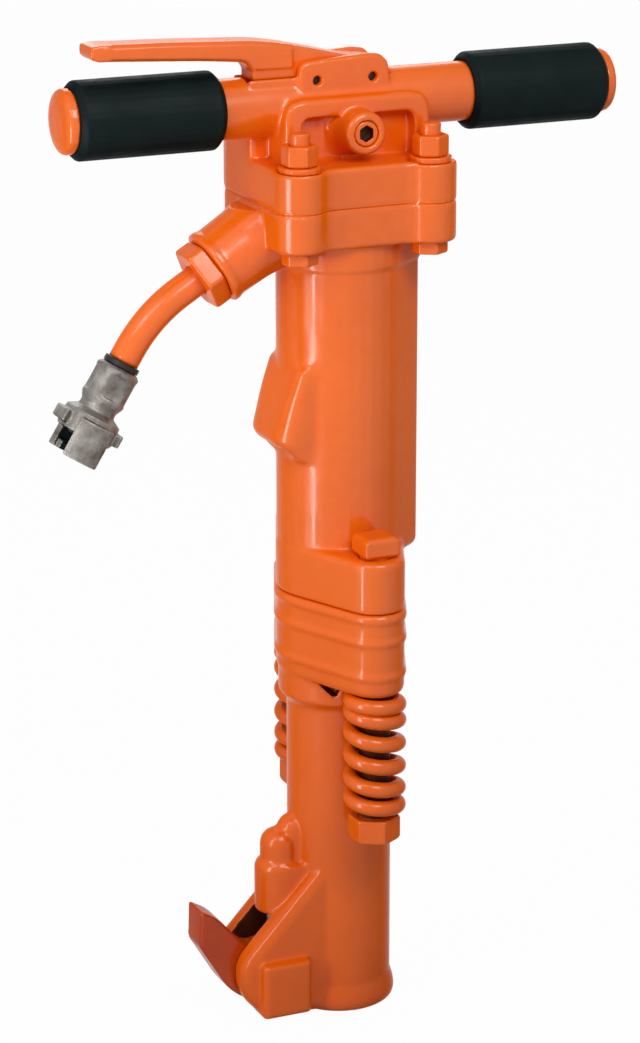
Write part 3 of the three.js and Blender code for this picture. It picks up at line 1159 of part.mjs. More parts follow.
// Rigid bent pipe and its trapped collar, drawn outward along Z from the seat of the nut.
function inletPipe(endDirection) {
  const start = new THREE.Vector3(0, 0, -INLET_SEAT_DEPTH + SEAT_GAP);
  const bendStart = new THREE.Vector3(0, 0, PIPE_FIRST_RUN);
  const corner = bendStart.clone().addScaledVector(Z_AXIS, PIPE_BEND_RUN);
  const bendEnd = corner.clone().addScaledVector(endDirection, PIPE_BEND_RUN);
  const end = bendEnd.clone().addScaledVector(endDirection, PIPE_LAST_RUN);
  const route = new THREE.CurvePath();
  route.add(new THREE.LineCurve3(start, bendStart));
  route.add(new THREE.QuadraticBezierCurve3(bendStart, corner, bendEnd));
  route.add(new THREE.LineCurve3(bendEnd, end));
  const section = new THREE.Shape();
  section.absarc(0, 0, PIPE_RADIUS, 0, 2 * Math.PI);
  const bore = new THREE.Path();
  bore.absarc(0, 0, PIPE_BORE_RADIUS, 0, 2 * Math.PI);
  section.holes.push(bore);
  const tube = new THREE.ExtrudeGeometry(section, { steps: 14, extrudePath: route, curveSegments: 8 });
  const collar = sleeve(PIPE_COLLAR_RADIUS, (PIPE_RADIUS + PIPE_BORE_RADIUS) / 2, PIPE_COLLAR_HEIGHT, 28);
  return { body: joined(solid(tube), moved(collar, 0, 0, start.z)), end };
}

// Cast claw coupling, drawn outward from the end of its shank.
function hoseCoupling() {
  const neck = COUPLING_SHANK;
  const head = neck + COUPLING_NECK;
  const face = head + COUPLING_HEAD;
  const turned = revolved([
    [COUPLING_BORE_RADIUS, 0], [SHANK_RADIUS - EDGE_ROUND, 0], [SHANK_RADIUS, EDGE_ROUND],
    [SHANK_RADIUS, neck - EDGE_ROUND], [COUPLING_NECK_RADIUS, neck + EDGE_ROUND],
    [COUPLING_NECK_RADIUS, head], [COUPLING_HEAD_RADIUS, head + EDGE_ROUND * 1.5],
    [COUPLING_HEAD_RADIUS, face - FINE_ROUND], [COUPLING_HEAD_RADIUS - FINE_ROUND, face],
    [GASKET_RADIUS + RUN_GAP, face], [GASKET_RADIUS + RUN_GAP, face - GASKET_HEIGHT + GASKET_PROUD - SEAT_GAP],
    [COUPLING_BORE_RADIUS, face - GASKET_HEIGHT + GASKET_PROUD - SEAT_GAP], [COUPLING_BORE_RADIUS, 0],
  ], 24);
  const flat = SHANK_RADIUS * 0.86;
  const far = SHANK_RADIUS * 2;
  const flats = [0, 1].map((turn) => joined(
    block(flat, far, -far, far, EDGE_ROUND * 2, neck - EDGE_ROUND * 2),
    block(-far, -flat, -far, far, EDGE_ROUND * 2, neck - EDGE_ROUND * 2),
  ).rotate([0, 0, 90 * turn]));
  const wedge = (inner, outer, half, length) => {
    const shape = new THREE.Shape();
    shape.absarc(0, 0, outer, -half, half, false);
    shape.absarc(0, 0, inner, half, -half, true);
    shape.closePath();
    return extruded(shape, length, 0, 4);
  };
  const wings = [0, 1].map((side) => {
    const wing = wedge(COUPLING_HEAD_RADIUS / 2, CLAW_REACH, CLAW_HALF_ANGLE, COUPLING_HEAD * 0.45)
      .subtract(moved(drum(GASKET_RADIUS + EDGE_ROUND, COUPLING_HEAD, 24), 0, 0, -COUPLING_HEAD / 4));
    return moved(wing, 0, 0, face - COUPLING_HEAD * 0.62).rotate([0, 0, 180 * side + 90]);
  });
  const claws = [0, 1].map((side) => {
    const outer = CLAW_REACH - FINE_ROUND;
    const half = CLAW_HALF_ANGLE * 0.9;
    const length = COUPLING_HEAD * 0.62 + CLAW_LENGTH;
    const arm = wedge(CLAW_REACH - CLAW_THICKNESS, CLAW_REACH, CLAW_HALF_ANGLE, length);
    const root = wedge(COUPLING_HEAD_RADIUS * 0.8, outer, half, COUPLING_HEAD * 0.5);
    const hook = wedge(CLAW_REACH - CLAW_THICKNESS * 1.9, outer, half, CLAW_THICKNESS);
    return joined(
      moved(arm, 0, 0, face - COUPLING_HEAD * 0.62), moved(root, 0, 0, face - COUPLING_HEAD * 0.62),
      moved(hook, 0, 0, face + CLAW_LENGTH - CLAW_THICKNESS),
    ).rotate([0, 0, 180 * side]);
  });
  return joined(cut(turned, ...flats), ...wings, ...claws);
}

// Assembly
const frontheadGroup = new THREE.Group();
breaker.add(frontheadGroup);
add('fronthead', fronthead(), paint, frontheadGroup);
add('chuck_bushing', chuckBushing(), machined, frontheadGroup, new THREE.Vector3(0, 0, CHUCK_BOTTOM));
add('anvil', anvil(), machined, frontheadGroup, new THREE.Vector3(0, 0, ANVIL_BOTTOM));
add('latch', latch(), paint, frontheadGroup, new THREE.Vector3(PIVOT_X, 0, PIVOT_Z));
const pin = add(
  'latch_pivot_pin', latchPin(), machined, frontheadGroup,
  new THREE.Vector3(PIVOT_X, -EAR_HALF_WIDTH + SEAT_GAP, PIVOT_Z),
);
pin.rotation.x = -Math.PI / 2;
add('latch_plunger', latchPlunger(), machined, frontheadGroup, new THREE.Vector3(PLUNGER_X, 0, PLUNGER_TIP_Z));
add('latch_plunger_spring', coilSpring(
  'latch_plunger_spring', PLUNGER_ROOF - PLUNGER_TOP - 2 * SEAT_GAP, PLUNGER_SPRING_RADIUS, PLUNGER_WIRE,
  PLUNGER_SPRING_TURNS, 0,
), machined, frontheadGroup, new THREE.Vector3(PLUNGER_X, 0, PLUNGER_TOP + SEAT_GAP));

const cylinderGroup = new THREE.Group();
cylinderGroup.position.z = CYLINDER_Z;
breaker.add(cylinderGroup);
add('cylinder', cylinder(), paint, cylinderGroup);
const bushingZ = BUSHING_BOTTOM - CYLINDER_Z;
add('anvil_bushing', anvilBushing(), machined, cylinderGroup, new THREE.Vector3(0, 0, bushingZ));
const pistonZ = BUSHING_IN_CYLINDER + 2 * SEAT_GAP;
add('piston', piston(), machined, cylinderGroup, new THREE.Vector3(0, 0, pistonZ));
const chestZ = CYLINDER_LENGTH - CHEST_DEPTH + SEAT_GAP;
const chestPart = chestHalf(CHEST_HALF, CHEST_CAVITY);
add('valve_chest_lower', chestPart, machined, cylinderGroup, new THREE.Vector3(0, 0, chestZ));
const upper = add(
  'valve_chest_upper', chestPart, machined, cylinderGroup,
  new THREE.Vector3(0, 0, chestZ + 2 * CHEST_HALF + SEAT_GAP),
);
upper.rotation.x = Math.PI;
add(
  'distributing_valve', distributingValve(), machined, cylinderGroup,
  new THREE.Vector3(0, 0, chestZ + CHEST_HALF - CHEST_CAVITY + SEAT_GAP),
);

const sideNutTop = FRONT_BAND_Z - SIDE_SPRING_LENGTH - 2 * SEAT_GAP;
const sideNutZ = sideNutTop - SIDE_NUT_HEIGHT;
const sideHeadZ = CYLINDER_Z + CYLINDER_BAND_HEIGHT + SEAT_GAP;
const squareHead = new THREE.Shape();
[[-1, -1], [1, -1], [1, 1], [-1, 1]].forEach(([x, y], corner) => {
  squareHead[corner === 0 ? 'moveTo' : 'lineTo']((x * SIDE_HEAD_WIDTH) / 2, (y * SIDE_HEAD_WIDTH) / 2);
});
['front', 'rear'].forEach((place, turn) => {
  const y = (turn === 0 ? -1 : 1) * LUG_OFFSET;
  const shank = sideHeadZ - sideNutZ + SIDE_BOLT_PROUD;
  const bolt = joined(
    moved(drum(SIDE_BOLT_RADIUS, shank + OVERRUN, SMALL_ROUND, FINE_ROUND), 0, 0, -shank),
    extruded(squareHead, SIDE_HEAD_HEIGHT, EDGE_ROUND),
  );
  add(`side_bolt_${place}`, bolt, paint, breaker, new THREE.Vector3(0, y, sideHeadZ));
  add(`side_spring_${place}`, coilSpring(
    `side_spring_${place}`, SIDE_SPRING_LENGTH, SIDE_SPRING_RADIUS, SIDE_WIRE, SIDE_SPRING_TURNS,
    turn === 0 ? Math.PI / 2 : -Math.PI / 2,
  ), paint, breaker, new THREE.Vector3(0, y, sideNutTop + SEAT_GAP));
  add(
    `side_nut_${place}`, hexagon(SIDE_NUT_FLATS, SIDE_NUT_HEIGHT, SIDE_BOLT_RADIUS + RUN_GAP), paint, breaker,
    new THREE.Vector3(0, y, sideNutZ),
  );
});

const backheadGroup = new THREE.Group();
backheadGroup.position.z = BACKHEAD_Z;
breaker.add(backheadGroup);
add('backhead', backhead(), paint, backheadGroup);
const flangeBottom = CYLINDER_FLANGE + 2 * SEAT_GAP;
flangeBoltPlaces().forEach(([x, y], place) => {
  const washerZ = nutSeat(y) + SEAT_GAP;
  const nutZ = washerZ + WASHER_HEIGHT + SEAT_GAP;
  const shank = flangeBottom + nutZ + FLANGE_NUT_HEIGHT + FLANGE_STUD_PROUD;
  const bolt = joined(
    drum(FLANGE_BOLT_RADIUS, shank, SMALL_ROUND),
    moved(hexagon(FLANGE_HEAD_FLATS, FLANGE_HEAD_HEIGHT), 0, 0, -FLANGE_HEAD_HEIGHT),
    moved(drum(FLANGE_BOLT_RADIUS, FLANGE_HEAD_HEIGHT, SMALL_ROUND), 0, 0, -FINE_ROUND),
  );
  const number = place + 1;
  add(`backhead_bolt_${number}`, bolt, paint, backheadGroup, new THREE.Vector3(x, y, -flangeBottom));
  add(
    `backhead_washer_${number}`, sleeve(WASHER_RADIUS, FLANGE_BOLT_RADIUS + RUN_GAP, WASHER_HEIGHT, SMALL_ROUND),
    paint, backheadGroup, new THREE.Vector3(x, y, washerZ),
  );
  add(
    `backhead_nut_${number}`, hexagon(FLANGE_NUT_FLATS, FLANGE_NUT_HEIGHT, FLANGE_BOLT_RADIUS + RUN_GAP),
    paint, backheadGroup, new THREE.Vector3(x, y, nutZ),
  );
});

const pinZ = HANDLE_RISE + LEVER_PIN_Z;
const pinY = YOKE_HALF_WIDTH - LEVER_PIN_SUNK;
add('throttle_lever', throttleLever(), paint, backheadGroup, new THREE.Vector3(LEVER_PIVOT_X, 0, pinZ));
[['lever_pivot_pin', LEVER_PIVOT_X], ['lever_stop_pin', LEVER_STOP_X]].forEach(([name, x]) => {
  const mesh = add(name, leverPin(), blackSteel, backheadGroup, new THREE.Vector3(x, pinY, pinZ));
  mesh.rotation.x = Math.PI / 2;
});
add('throttle_valve', throttleValve(), machined, backheadGroup, new THREE.Vector3(VALVE_X, 0, POPPET_Z));
const plugTop = PLUG_SUNK + PLUG_HEIGHT;
const plugPlace = new THREE.Vector3(VALVE_X, 0, PLUG_SUNK);
add('throttle_valve_plug', throttleValvePlug(), machined, backheadGroup, plugPlace);
add('throttle_valve_spring', coilSpring(
  'throttle_valve_spring', POPPET_Z - plugTop - 2 * SEAT_GAP, THROTTLE_SPRING_RADIUS, THROTTLE_WIRE,
  THROTTLE_SPRING_TURNS, 0,
), machined, backheadGroup, new THREE.Vector3(VALVE_X, 0, plugTop + SEAT_GAP));
const filler = add(
  'oil_filler_plug', fillerPlug(), paint, backheadGroup,
  new THREE.Vector3(0, FILLER_PLUG_LENGTH + FILLER_PLUG_SUNK - BOSS_REACH, BOSS_RISE),
);
filler.rotation.x = Math.PI / 2;

[['left', -1], ['right', 1]].forEach(([side, sign]) => {
  const inner = HANDLE_HALF - GRIP_LENGTH;
  const gripPlace = new THREE.Vector3(sign * inner, 0, HANDLE_RISE);
  const sleeveMesh = add(`${side}_grip`, grip(), rubber, backheadGroup, gripPlace);
  sleeveMesh.rotation.y = (sign * Math.PI) / 2;
  const cap = add(
    `${side}_end_cap`, endCap(), paint, backheadGroup,
    new THREE.Vector3(sign * (HANDLE_HALF - END_CAP_SPIGOT + SEAT_GAP), 0, HANDLE_RISE),
  );
  cap.rotation.y = (sign * Math.PI) / 2;
});

const inletGroup = new THREE.Group();
inletGroup.position.copy(inletFace).addScaledVector(Z_AXIS, CYLINDER_Z);
inletGroup.quaternion.setFromUnitVectors(Z_AXIS, inletOut);
breaker.add(inletGroup);
add('inlet_swivel_nut', swivelNut(), paint, inletGroup, new THREE.Vector3(0, 0, SEAT_GAP));
const localEnd = PIPE_END_DIRECTION.clone().applyQuaternion(inletGroup.quaternion.clone().invert());
const pipe = inletPipe(localEnd);
add('inlet_pipe', pipe.body, paint, inletGroup);
const couplingGroup = new THREE.Group();
couplingGroup.position.copy(pipe.end);
couplingGroup.quaternion.setFromUnitVectors(Z_AXIS, localEnd);
couplingGroup.rotateZ(COUPLING_ROLL);
inletGroup.add(couplingGroup);
const ring = sleeve(THREAD_RING_RADIUS, PIPE_BORE_RADIUS, THREAD_RING_HEIGHT, 24);
add('thread_ring', ring, blackSteel, couplingGroup, new THREE.Vector3(0, 0, SEAT_GAP));
const shankZ = THREAD_RING_HEIGHT + 2 * SEAT_GAP;
add('hose_coupling', hoseCoupling(), castSteel, couplingGroup, new THREE.Vector3(0, 0, shankZ));
const gasketZ = shankZ + COUPLING_SHANK + COUPLING_NECK + COUPLING_HEAD + GASKET_PROUD - GASKET_HEIGHT;
const gasket = sleeve(GASKET_RADIUS, COUPLING_BORE_RADIUS - FINE_ROUND, GASKET_HEIGHT, 20, FINE_ROUND);
add('coupling_gasket', gasket, rubber, couplingGroup, new THREE.Vector3(0, 0, gasketZ));

export default breaker;
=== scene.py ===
import json
import math
import bpy
import bmesh
from mathutils import Matrix, Vector


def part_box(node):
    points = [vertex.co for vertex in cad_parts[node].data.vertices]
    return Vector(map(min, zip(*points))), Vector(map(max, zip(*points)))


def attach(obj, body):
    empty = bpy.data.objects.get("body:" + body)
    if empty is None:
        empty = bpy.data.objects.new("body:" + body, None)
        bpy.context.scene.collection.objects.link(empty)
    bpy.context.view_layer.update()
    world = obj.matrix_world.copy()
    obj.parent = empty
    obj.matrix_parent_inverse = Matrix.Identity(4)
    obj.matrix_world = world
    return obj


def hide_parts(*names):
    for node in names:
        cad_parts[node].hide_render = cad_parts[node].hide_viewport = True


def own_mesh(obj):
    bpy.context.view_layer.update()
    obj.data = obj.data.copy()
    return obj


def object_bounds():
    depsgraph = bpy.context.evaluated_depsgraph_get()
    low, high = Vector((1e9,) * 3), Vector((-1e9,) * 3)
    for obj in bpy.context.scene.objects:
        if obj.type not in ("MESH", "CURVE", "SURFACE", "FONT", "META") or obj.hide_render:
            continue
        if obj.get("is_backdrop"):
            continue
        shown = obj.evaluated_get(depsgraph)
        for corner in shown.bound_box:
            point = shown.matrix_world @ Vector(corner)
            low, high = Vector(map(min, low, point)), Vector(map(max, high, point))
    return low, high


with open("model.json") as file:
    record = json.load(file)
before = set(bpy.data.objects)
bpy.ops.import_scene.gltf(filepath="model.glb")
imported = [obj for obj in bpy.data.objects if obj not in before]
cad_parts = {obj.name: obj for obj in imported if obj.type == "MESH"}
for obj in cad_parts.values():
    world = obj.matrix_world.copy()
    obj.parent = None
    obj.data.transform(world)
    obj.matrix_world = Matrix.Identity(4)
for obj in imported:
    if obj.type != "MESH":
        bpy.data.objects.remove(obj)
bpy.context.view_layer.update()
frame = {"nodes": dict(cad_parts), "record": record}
bodies = frame["record"]["behaviour"]["bodies"]
BODY_OF = {node: body for body, nodes in bodies.items() for node in nodes}
SLOT_OF = {entry["node"]: entry["material_slot"] for entry in frame["record"]["subparts"]}
MM = 0.001

# Camera: 24 degrees to the left of the front, 17 degrees above
PHOTO_HEIGHT = 1043
FOCAL_PX = 3500.0
SENSOR = 36.0
CAMERA_AT = (-0.9648, -2.1342, 1.0741)
CAMERA_YAW = -24.0
CAMERA_PITCH = 17.01

# Light levels, floor, and the lamps: degrees left of the camera's direction, reach, height,
# height of the aim, size and power
WORLD_LIGHT = 0.45
FLOOR_WHITE = 0.98
FLOOR_GREY = 0.46
FLOOR_HALF = 14.0
LAMPS = [
    ("strip", 47.0, 0.62, 0.365, 0.365, (0.12, 0.55), 1.8),
    ("front", -24.0, 0.92, 1.36, 0.58, (0.6, 0.5), 6.7),
    ("ledge", 30.0, 0.9, 1.2, 0.32, (0.45, 0.25), 1.6),
    ("back", 172.0, 1.1, 1.25, 0.45, (0.7, 0.6), 5.0),
]

# Voxel sizes of the castings
CASTING_VOXEL = 1.25 * MM
SMALL_VOXEL = 0.8 * MM
WASHER_VOXEL = 0.6 * MM
PLUG_VOXEL = 0.5 * MM

# Colours, linear
RUBBER_DARK = (0.0025, 0.0062, 0.0062, 1.0)
RUBBER_LIGHT = (0.0045, 0.0105, 0.0105, 1.0)
PAINT_MAIN = (0.86, 0.140, 0.004, 1.0)
PAINT_DEEP = (0.79, 0.120, 0.003, 1.0)
PAINT_LIGHT = (0.90, 0.170, 0.010, 1.0)
# Wear, and painted highlight, on the edges of the paint
PAINT_WORN_AND_HIGHLIT = (0.95, 0.26, 0.08, 1.0)
# Painted shade for the hollows of the paint
PAINTED_HOLLOW_SHADE = (0.36, 0.036, 0.002, 1.0)
# Painted shade for the lower parts
PAINT_LOW_SHADE = (0.50, 0.066, 0.003, 1.0)
# Painted shade for the whole latch
LATCH_SHADE = (0.34, 0.026, 0.002, 1.0)
# Painted shade: dark look for the bolts' shank between the spring's turns and for hollows
SHANK_SHADE_DARK = (0.030, 0.006, 0.002, 1.0)
SHANK_SHADE_LIGHT = (0.085, 0.016, 0.004, 1.0)
WHITE = (1.0, 1.0, 1.0, 1.0)

# Heights over which the painted shade fades upward, and over which the paint gets glossier
LOW_SHADE_HEIGHTS = (0.02, 0.45)
DULL_HEIGHTS = (0.02, 0.42)

# Usual range of a noise, and the facings between which gloss falls off
NOISE_RANGE = (0.3, 0.7)
GLOSS_FACINGS = (0.15, 0.45)

# Waist beside the right front lobe of the flange, in millimetres
WAIST_START = [(-6.0, -72.0), (-6.0, -51.0), (10.0, -51.5)]
WAIST_CENTRE = (48.0, -42.0)
WAIST_RADIUS = 18.0
WAIST_ARC = range(212, 265, 4)
WAIST_END = [(46.0, -72.0)]
WAIST_HEIGHTS = (540.0, 626.0)

# Notch at the open side of the front spring's seat: its direction, and in millimetres its
# corners, aside and up, and its reach from the axis
NOTCH_TURN = -118.0
NOTCH_CORNERS = [(-13.0, 253.0), (5.0, 250.7), (0.0, 241.5)]
NOTCH_REACH = (32.5, 62.0)

# Painted shade in hollows of the fronthead: the spring seat behind the notch, whose faces turn outward
# by less than a share, and the latch's slot, whose walls face the mid-plane by more than a share
SEAT_HEIGHTS = (0.2425, 0.2525)
SEAT_ASIDE = (-0.013, 0.004)
SEAT_REACH = (0.030, 0.0425)
SEAT_FACING = 0.5
SLOT_TOP = 0.110
SLOT_X = (-0.090, -0.030)
SLOT_HALF_WIDTH = 0.0165
SLOT_FACING = 0.6

# Softening of the exhaust hood: boxes and rounds
HOOD_MELTS = [
    ((-0.075, -0.045, 0.372), (-0.014, 0.045, 0.500), 26),
    ((-0.062, -0.045, 0.462), (-0.014, 0.045, 0.506), 45),
]
MELT_BORDER = 0.008
BORE_CLEAR = 0.039

# Low lips beside the lever's web, and the blunt tip of the lever
LIP_SIDES = (-13.2 * MM, 13.2 * MM)
LIPS = [((-72 * MM, side - 1.4 * MM, 668 * MM), (-35 * MM, side + 1.4 * MM, 675.2 * MM))
        for side in LIP_SIDES]
BLUNT_TIP = [
    ((-182.2 * MM, -11.6 * MM, 696.8 * MM), (-168.0 * MM, 11.6 * MM, 703.8 * MM)),
    ((-180.2 * MM, -11.6 * MM, 694.9 * MM), (-168.0 * MM, 11.6 * MM, 704.5 * MM)),
    ((-177.0 * MM, -11.6 * MM, 694.0 * MM), (-168.0 * MM, 11.6 * MM, 704.8 * MM)),
]

# Claw coupling, whose mouth gets painted shade: axis, start, how far along it the mouth begins and its
# floor ends, and how far the wall faces away from the axis' side and the floor faces along it
COUPLING_AXIS = Vector((-0.5291, 0.0, -0.8486))
COUPLING_START = Vector((-160.4, 0.0, 487.8)) * MM
MOUTH_FROM = 0.049
MOUTH_FLOOR_TO = 0.059
MOUTH_WALL_FACING = -0.35
MOUTH_FLOOR_FACING = 0.6

# Painted shade in the hexagonal socket of the filler plug, and how far the painted shade on the bolts
# reaches above a side spring
SOCKET_HEIGHT = 0.6395
SOCKET_RADIUS = 0.0056
SOCKET_FRONT = -0.0434
SHANK_MARGIN = 0.002

# Paint film over the flange joint
JOINT_Z = 0.59085
JOINT_SNAP = 0.0005
FILM_INSET = 0.995
FILMS = [
    ("joint_film_upper", "backhead", 0.5905, 0.5955),
    ("joint_film_lower", "cylinder", 0.5862, 0.5912),
]

# Side springs: share of the height at numbers of turns, then place, offset and first angle
SPRING_WIRE = 11.0 * MM
SPRING_RADIUS = 16.7 * MM
SPRING_SIDES = 20
COIL_STEPS = 44
SPRING_KNOTS = [
    (0, 0), (0.5, 0.06), (1.5, 0.235), (2.5, 0.445), (3.5, 0.655), (4.5, 0.86), (5.5, 0.985), (6, 1),
]
SIDE_SPRINGS = [("front", -60.5 * MM, 66.0), ("rear", 60.5 * MM, -114.0)]

# Inner springs: name, node, joint, whether the upper end stays, and travel
INNER_SPRINGS = [
    ("detent_spring", "latch_plunger_spring", "latch_plunger_slide", True, 11.5 * MM),
    ("valve_spring", "throttle_valve_spring", "throttle_valve_slide", False, 1.2 * MM),
]

# Bent inlet pipe: straight, bend and tail, and the thread ring's radii and heights
BOSS_FACE = Vector((-94.5, 0.0, 547.4)) * MM
BOSS_OUT = Vector((-0.857167, 0.0, -0.515038)).normalized()
PIPE_OUT = Vector((-0.53, 0.0, -0.85)).normalized()
PIPE_RADIUS = 10.65 * MM
PIPE_SIDES = 48
PIPE_STRAIGHT = 26.0 * MM
PIPE_BEND = 27.5 * MM
PIPE_TAIL = 8.0 * MM
STRAIGHT_STEPS = 6
BEND_STEPS = 32
TAIL_STEPS = 3
RING_GAP = 0.3 * MM
RING_SIDES = 72
RING_PROFILE = [
    (7.5 * MM, 0.0), (12.2 * MM, 0.0), (13.0 * MM, 0.6 * MM), (12.4 * MM, 1.2 * MM),
    (13.0 * MM, 1.9 * MM), (12.4 * MM, 2.6 * MM), (13.0 * MM, 3.2 * MM), (12.3 * MM, 4.0 * MM),
    (7.5 * MM, 4.0 * MM),
]


def linear(r, g, b):
    """sRGB 0 to 255 as linear colour."""
    out = []
    for c in (r, g, b):
        c /= 255.0
        out.append(c / 12.92 if c <= 0.04045 else ((c + 0.055) / 1.055) ** 2.4)
    return (*out, 1.0)


class Tree:
    """Builds the nodes of one node tree."""

    def __init__(self, tree):
        self.tree = tree

    def node(self, kind, **sockets):
        n = self.tree.nodes.new(kind)
        for key, value in sockets.items():
            self.put(n, key, value)
        return n

    def put(self, node, key, value):
        """Sets or links an input, named by its label or as i and its number."""
        by_number = key[0] == "i" and key[1:].isdigit()
        socket = node.inputs[int(key[1:]) if by_number else key]
        if isinstance(value, bpy.types.NodeSocket):
            self.tree.links.new(value, socket)
        else:
            socket.default_value = value

    def ramp(self, value, low, high, to_low=0.0, to_high=1.0):
        n = self.node("ShaderNodeMapRange")
        self.put(n, "Value", value)
        self.put(n, "From Min", low)
        self.put(n, "From Max", high)
        self.put(n, "To Min", to_low)
        self.put(n, "To Max", to_high)
        n.clamp = True
        return n.outputs["Result"]

    def math(self, op, a, b):
        n = self.node("ShaderNodeMath")
        n.operation = op
        self.put(n, "i0", a)
        self.put(n, "i1", b)
        return n.outputs[0]

    def seen(self):
        """1 where the camera looks, straight, by reflection or through something, and else 0."""
        ways = self.node("ShaderNodeLightPath").outputs
        straight = self.math("MAXIMUM", ways["Is Camera Ray"], ways["Is Glossy Ray"])
        return self.math("MAXIMUM", straight, ways["Is Transmission Ray"])


class Look(Tree):
    """Builds one material."""

    def __init__(self, name):
        self.mat = bpy.data.materials.new(name)
        self.mat.use_nodes = True
        super().__init__(self.mat.node_tree)
        self.bsdf = self.tree.nodes["Principled BSDF"]
        self.coords = self.node("ShaderNodeTexCoord").outputs["Object"]

    def noise(self, scale, detail=3.0, rough=0.5, stretch=None):
        where = self.coords
        if stretch:
            where = self.node("ShaderNodeMapping", Vector=self.coords, Scale=stretch).outputs["Vector"]
        n = self.node("ShaderNodeTexNoise", Vector=where, Scale=scale, Detail=detail, Roughness=rough)
        return n.outputs["Fac"]

    def clouds(self, scale, detail=3.0, to_low=0.0, to_high=1.0, rough=0.5):
        """Noise spread over the whole way from one value to another."""
        return self.ramp(self.noise(scale, detail, rough), *NOISE_RANGE, to_low, to_high)

    def mix(self, fac, a, b):
        n = self.node("ShaderNodeMix")
        n.data_type = "RGBA"
        self.put(n, "i0", fac)
        self.put(n, "i6", a)
        self.put(n, "i7", b)
        return n.outputs[2]

    def bump(self, height, strength, distance, normal=None):
        n = self.node("ShaderNodeBump", Height=height, Strength=strength, Distance=distance)
        if normal:
            self.put(n, "Normal", normal)
        return n.outputs["Normal"]

    def edges(self, low, high):
        """Edges, or hollows if low is the greater one."""
        geo = self.node("ShaderNodeNewGeometry")
        return self.ramp(geo.outputs["Pointiness"], low, high)

    def gloss(self, face, rim):
        """Gloss that falls off towards the rim of a round form."""
        weight = self.node("ShaderNodeLayerWeight", Blend=0.5)
        return self.ramp(weight.outputs["Facing"], *GLOSS_FACINGS, face, rim)

    def set(self, **values):
        """Inputs of the Principled shader, with _ for each space of a label."""
        for key, value in values.items():
            self.put(self.bsdf, key.replace("_", " "), value)


def paint_material(name="orange_paint", low_shade_colour=PAINT_LOW_SHADE, most=0.6, least=0.0):
    """Cast paint with edges lighter by wear and painted highlight, painted shade in hollows, and
    painted shade that grows from least to most downward.
    """
    n = Look(name)
    base = n.mix(n.clouds(9.0), PAINT_MAIN, PAINT_DEEP)
    base = n.mix(n.ramp(n.noise(120.0, 2.0), 0.35, 0.75, 0.0, 0.25), base, PAINT_LIGHT)
    # Lighter edges: wear, and painted highlight
    patches = n.ramp(n.noise(60.0, 4.0, 0.7), 0.42, 0.66, 0.25, 1.0)
    lighter_edges = n.math("MULTIPLY", n.edges(0.545, 0.66), patches)
    base = n.mix(n.math("MULTIPLY", lighter_edges, 0.5), base, PAINT_WORN_AND_HIGHLIT)
    # Painted shade in the hollows, found by pointiness
    hollow = n.math("MULTIPLY", n.edges(0.48, 0.40), 0.75)
    base = n.mix(hollow, base, PAINTED_HOLLOW_SHADE)
    height = n.node("ShaderNodeSeparateXYZ", Vector=n.coords).outputs["Z"]
    # Painted shade, darker towards the bottom, with a noise through it
    low_shade = n.ramp(height, *LOW_SHADE_HEIGHTS, most, least)
    low_shade = n.math("MULTIPLY", low_shade, n.clouds(16.0, 4.0, 0.8, 1.15))
    base = n.mix(low_shade, base, low_shade_colour)
    normal = n.bump(n.noise(34.0, 2.0), 0.22, 0.0012)
    normal = n.bump(n.noise(260.0, 3.0, 0.55), 0.10, 0.0003, normal)
    gloss = n.math("MULTIPLY", n.gloss(0.60, 0.06), n.ramp(height, *DULL_HEIGHTS, 0.45, 1.0))
    n.set(Base_Color=base, Roughness=n.clouds(50.0, 3.0, 0.16, 0.25), Normal=normal)
    n.set(Specular_IOR_Level=gloss)
    return n.mat


def rubber_material():
    n = Look("grip_rubber")
    normal = n.bump(n.noise(900.0, 2.0), 0.25, 0.0002)
    normal = n.bump(n.noise(70.0, 2.0), 0.15, 0.0006, normal)
    n.set(Base_Color=n.mix(n.clouds(30.0), RUBBER_DARK, RUBBER_LIGHT), Normal=normal)
    n.set(Roughness=n.clouds(80.0, 3.0, 0.42, 0.58), Specular_IOR_Level=n.gloss(0.09, 0.02))
    return n.mat


def gasket_material():
    n = Look("gasket_rubber")
    n.set(Base_Color=n.mix(n.clouds(80.0), linear(24, 24, 24), linear(38, 38, 38)), Roughness=0.7)
    n.set(Normal=n.bump(n.noise(900.0, 2.0), 0.3, 0.0002))
    return n.mat


def cast_material():
    n = Look("cast_iron")
    tone = n.ramp(n.noise(70.0, 4.0, 0.6), 0.3, 0.72)
    base = n.mix(tone, linear(84, 77, 70), linear(156, 152, 146))
    lighter_edges = n.math("MULTIPLY", n.edges(0.52, 0.62), 0.7)
    normal = n.bump(n.noise(700.0, 3.0, 0.6), 0.5, 0.0004)
    normal = n.bump(n.noise(150.0), 0.4, 0.0008, normal)
    n.set(Base_Color=n.mix(lighter_edges, base, linear(214, 211, 206)), Metallic=0.75, Normal=normal)
    n.set(Roughness=n.clouds(200.0, 3.0, 0.38, 0.6))
    return n.mat


def steel_material(name, dark, light, rough_low, rough_high, metallic):
    n = Look(name)
    turned_marks = n.noise(40.0, 2.0, 0.5, (1.0, 1.0, 30.0))
    n.set(Base_Color=n.mix(n.clouds(60.0, 4.0, rough=0.6), dark, light), Metallic=metallic)
    n.set(Roughness=n.ramp(turned_marks, *NOISE_RANGE, rough_low, rough_high))
    n.set(Normal=n.bump(turned_marks, 0.1, 0.0002))
    return n.mat


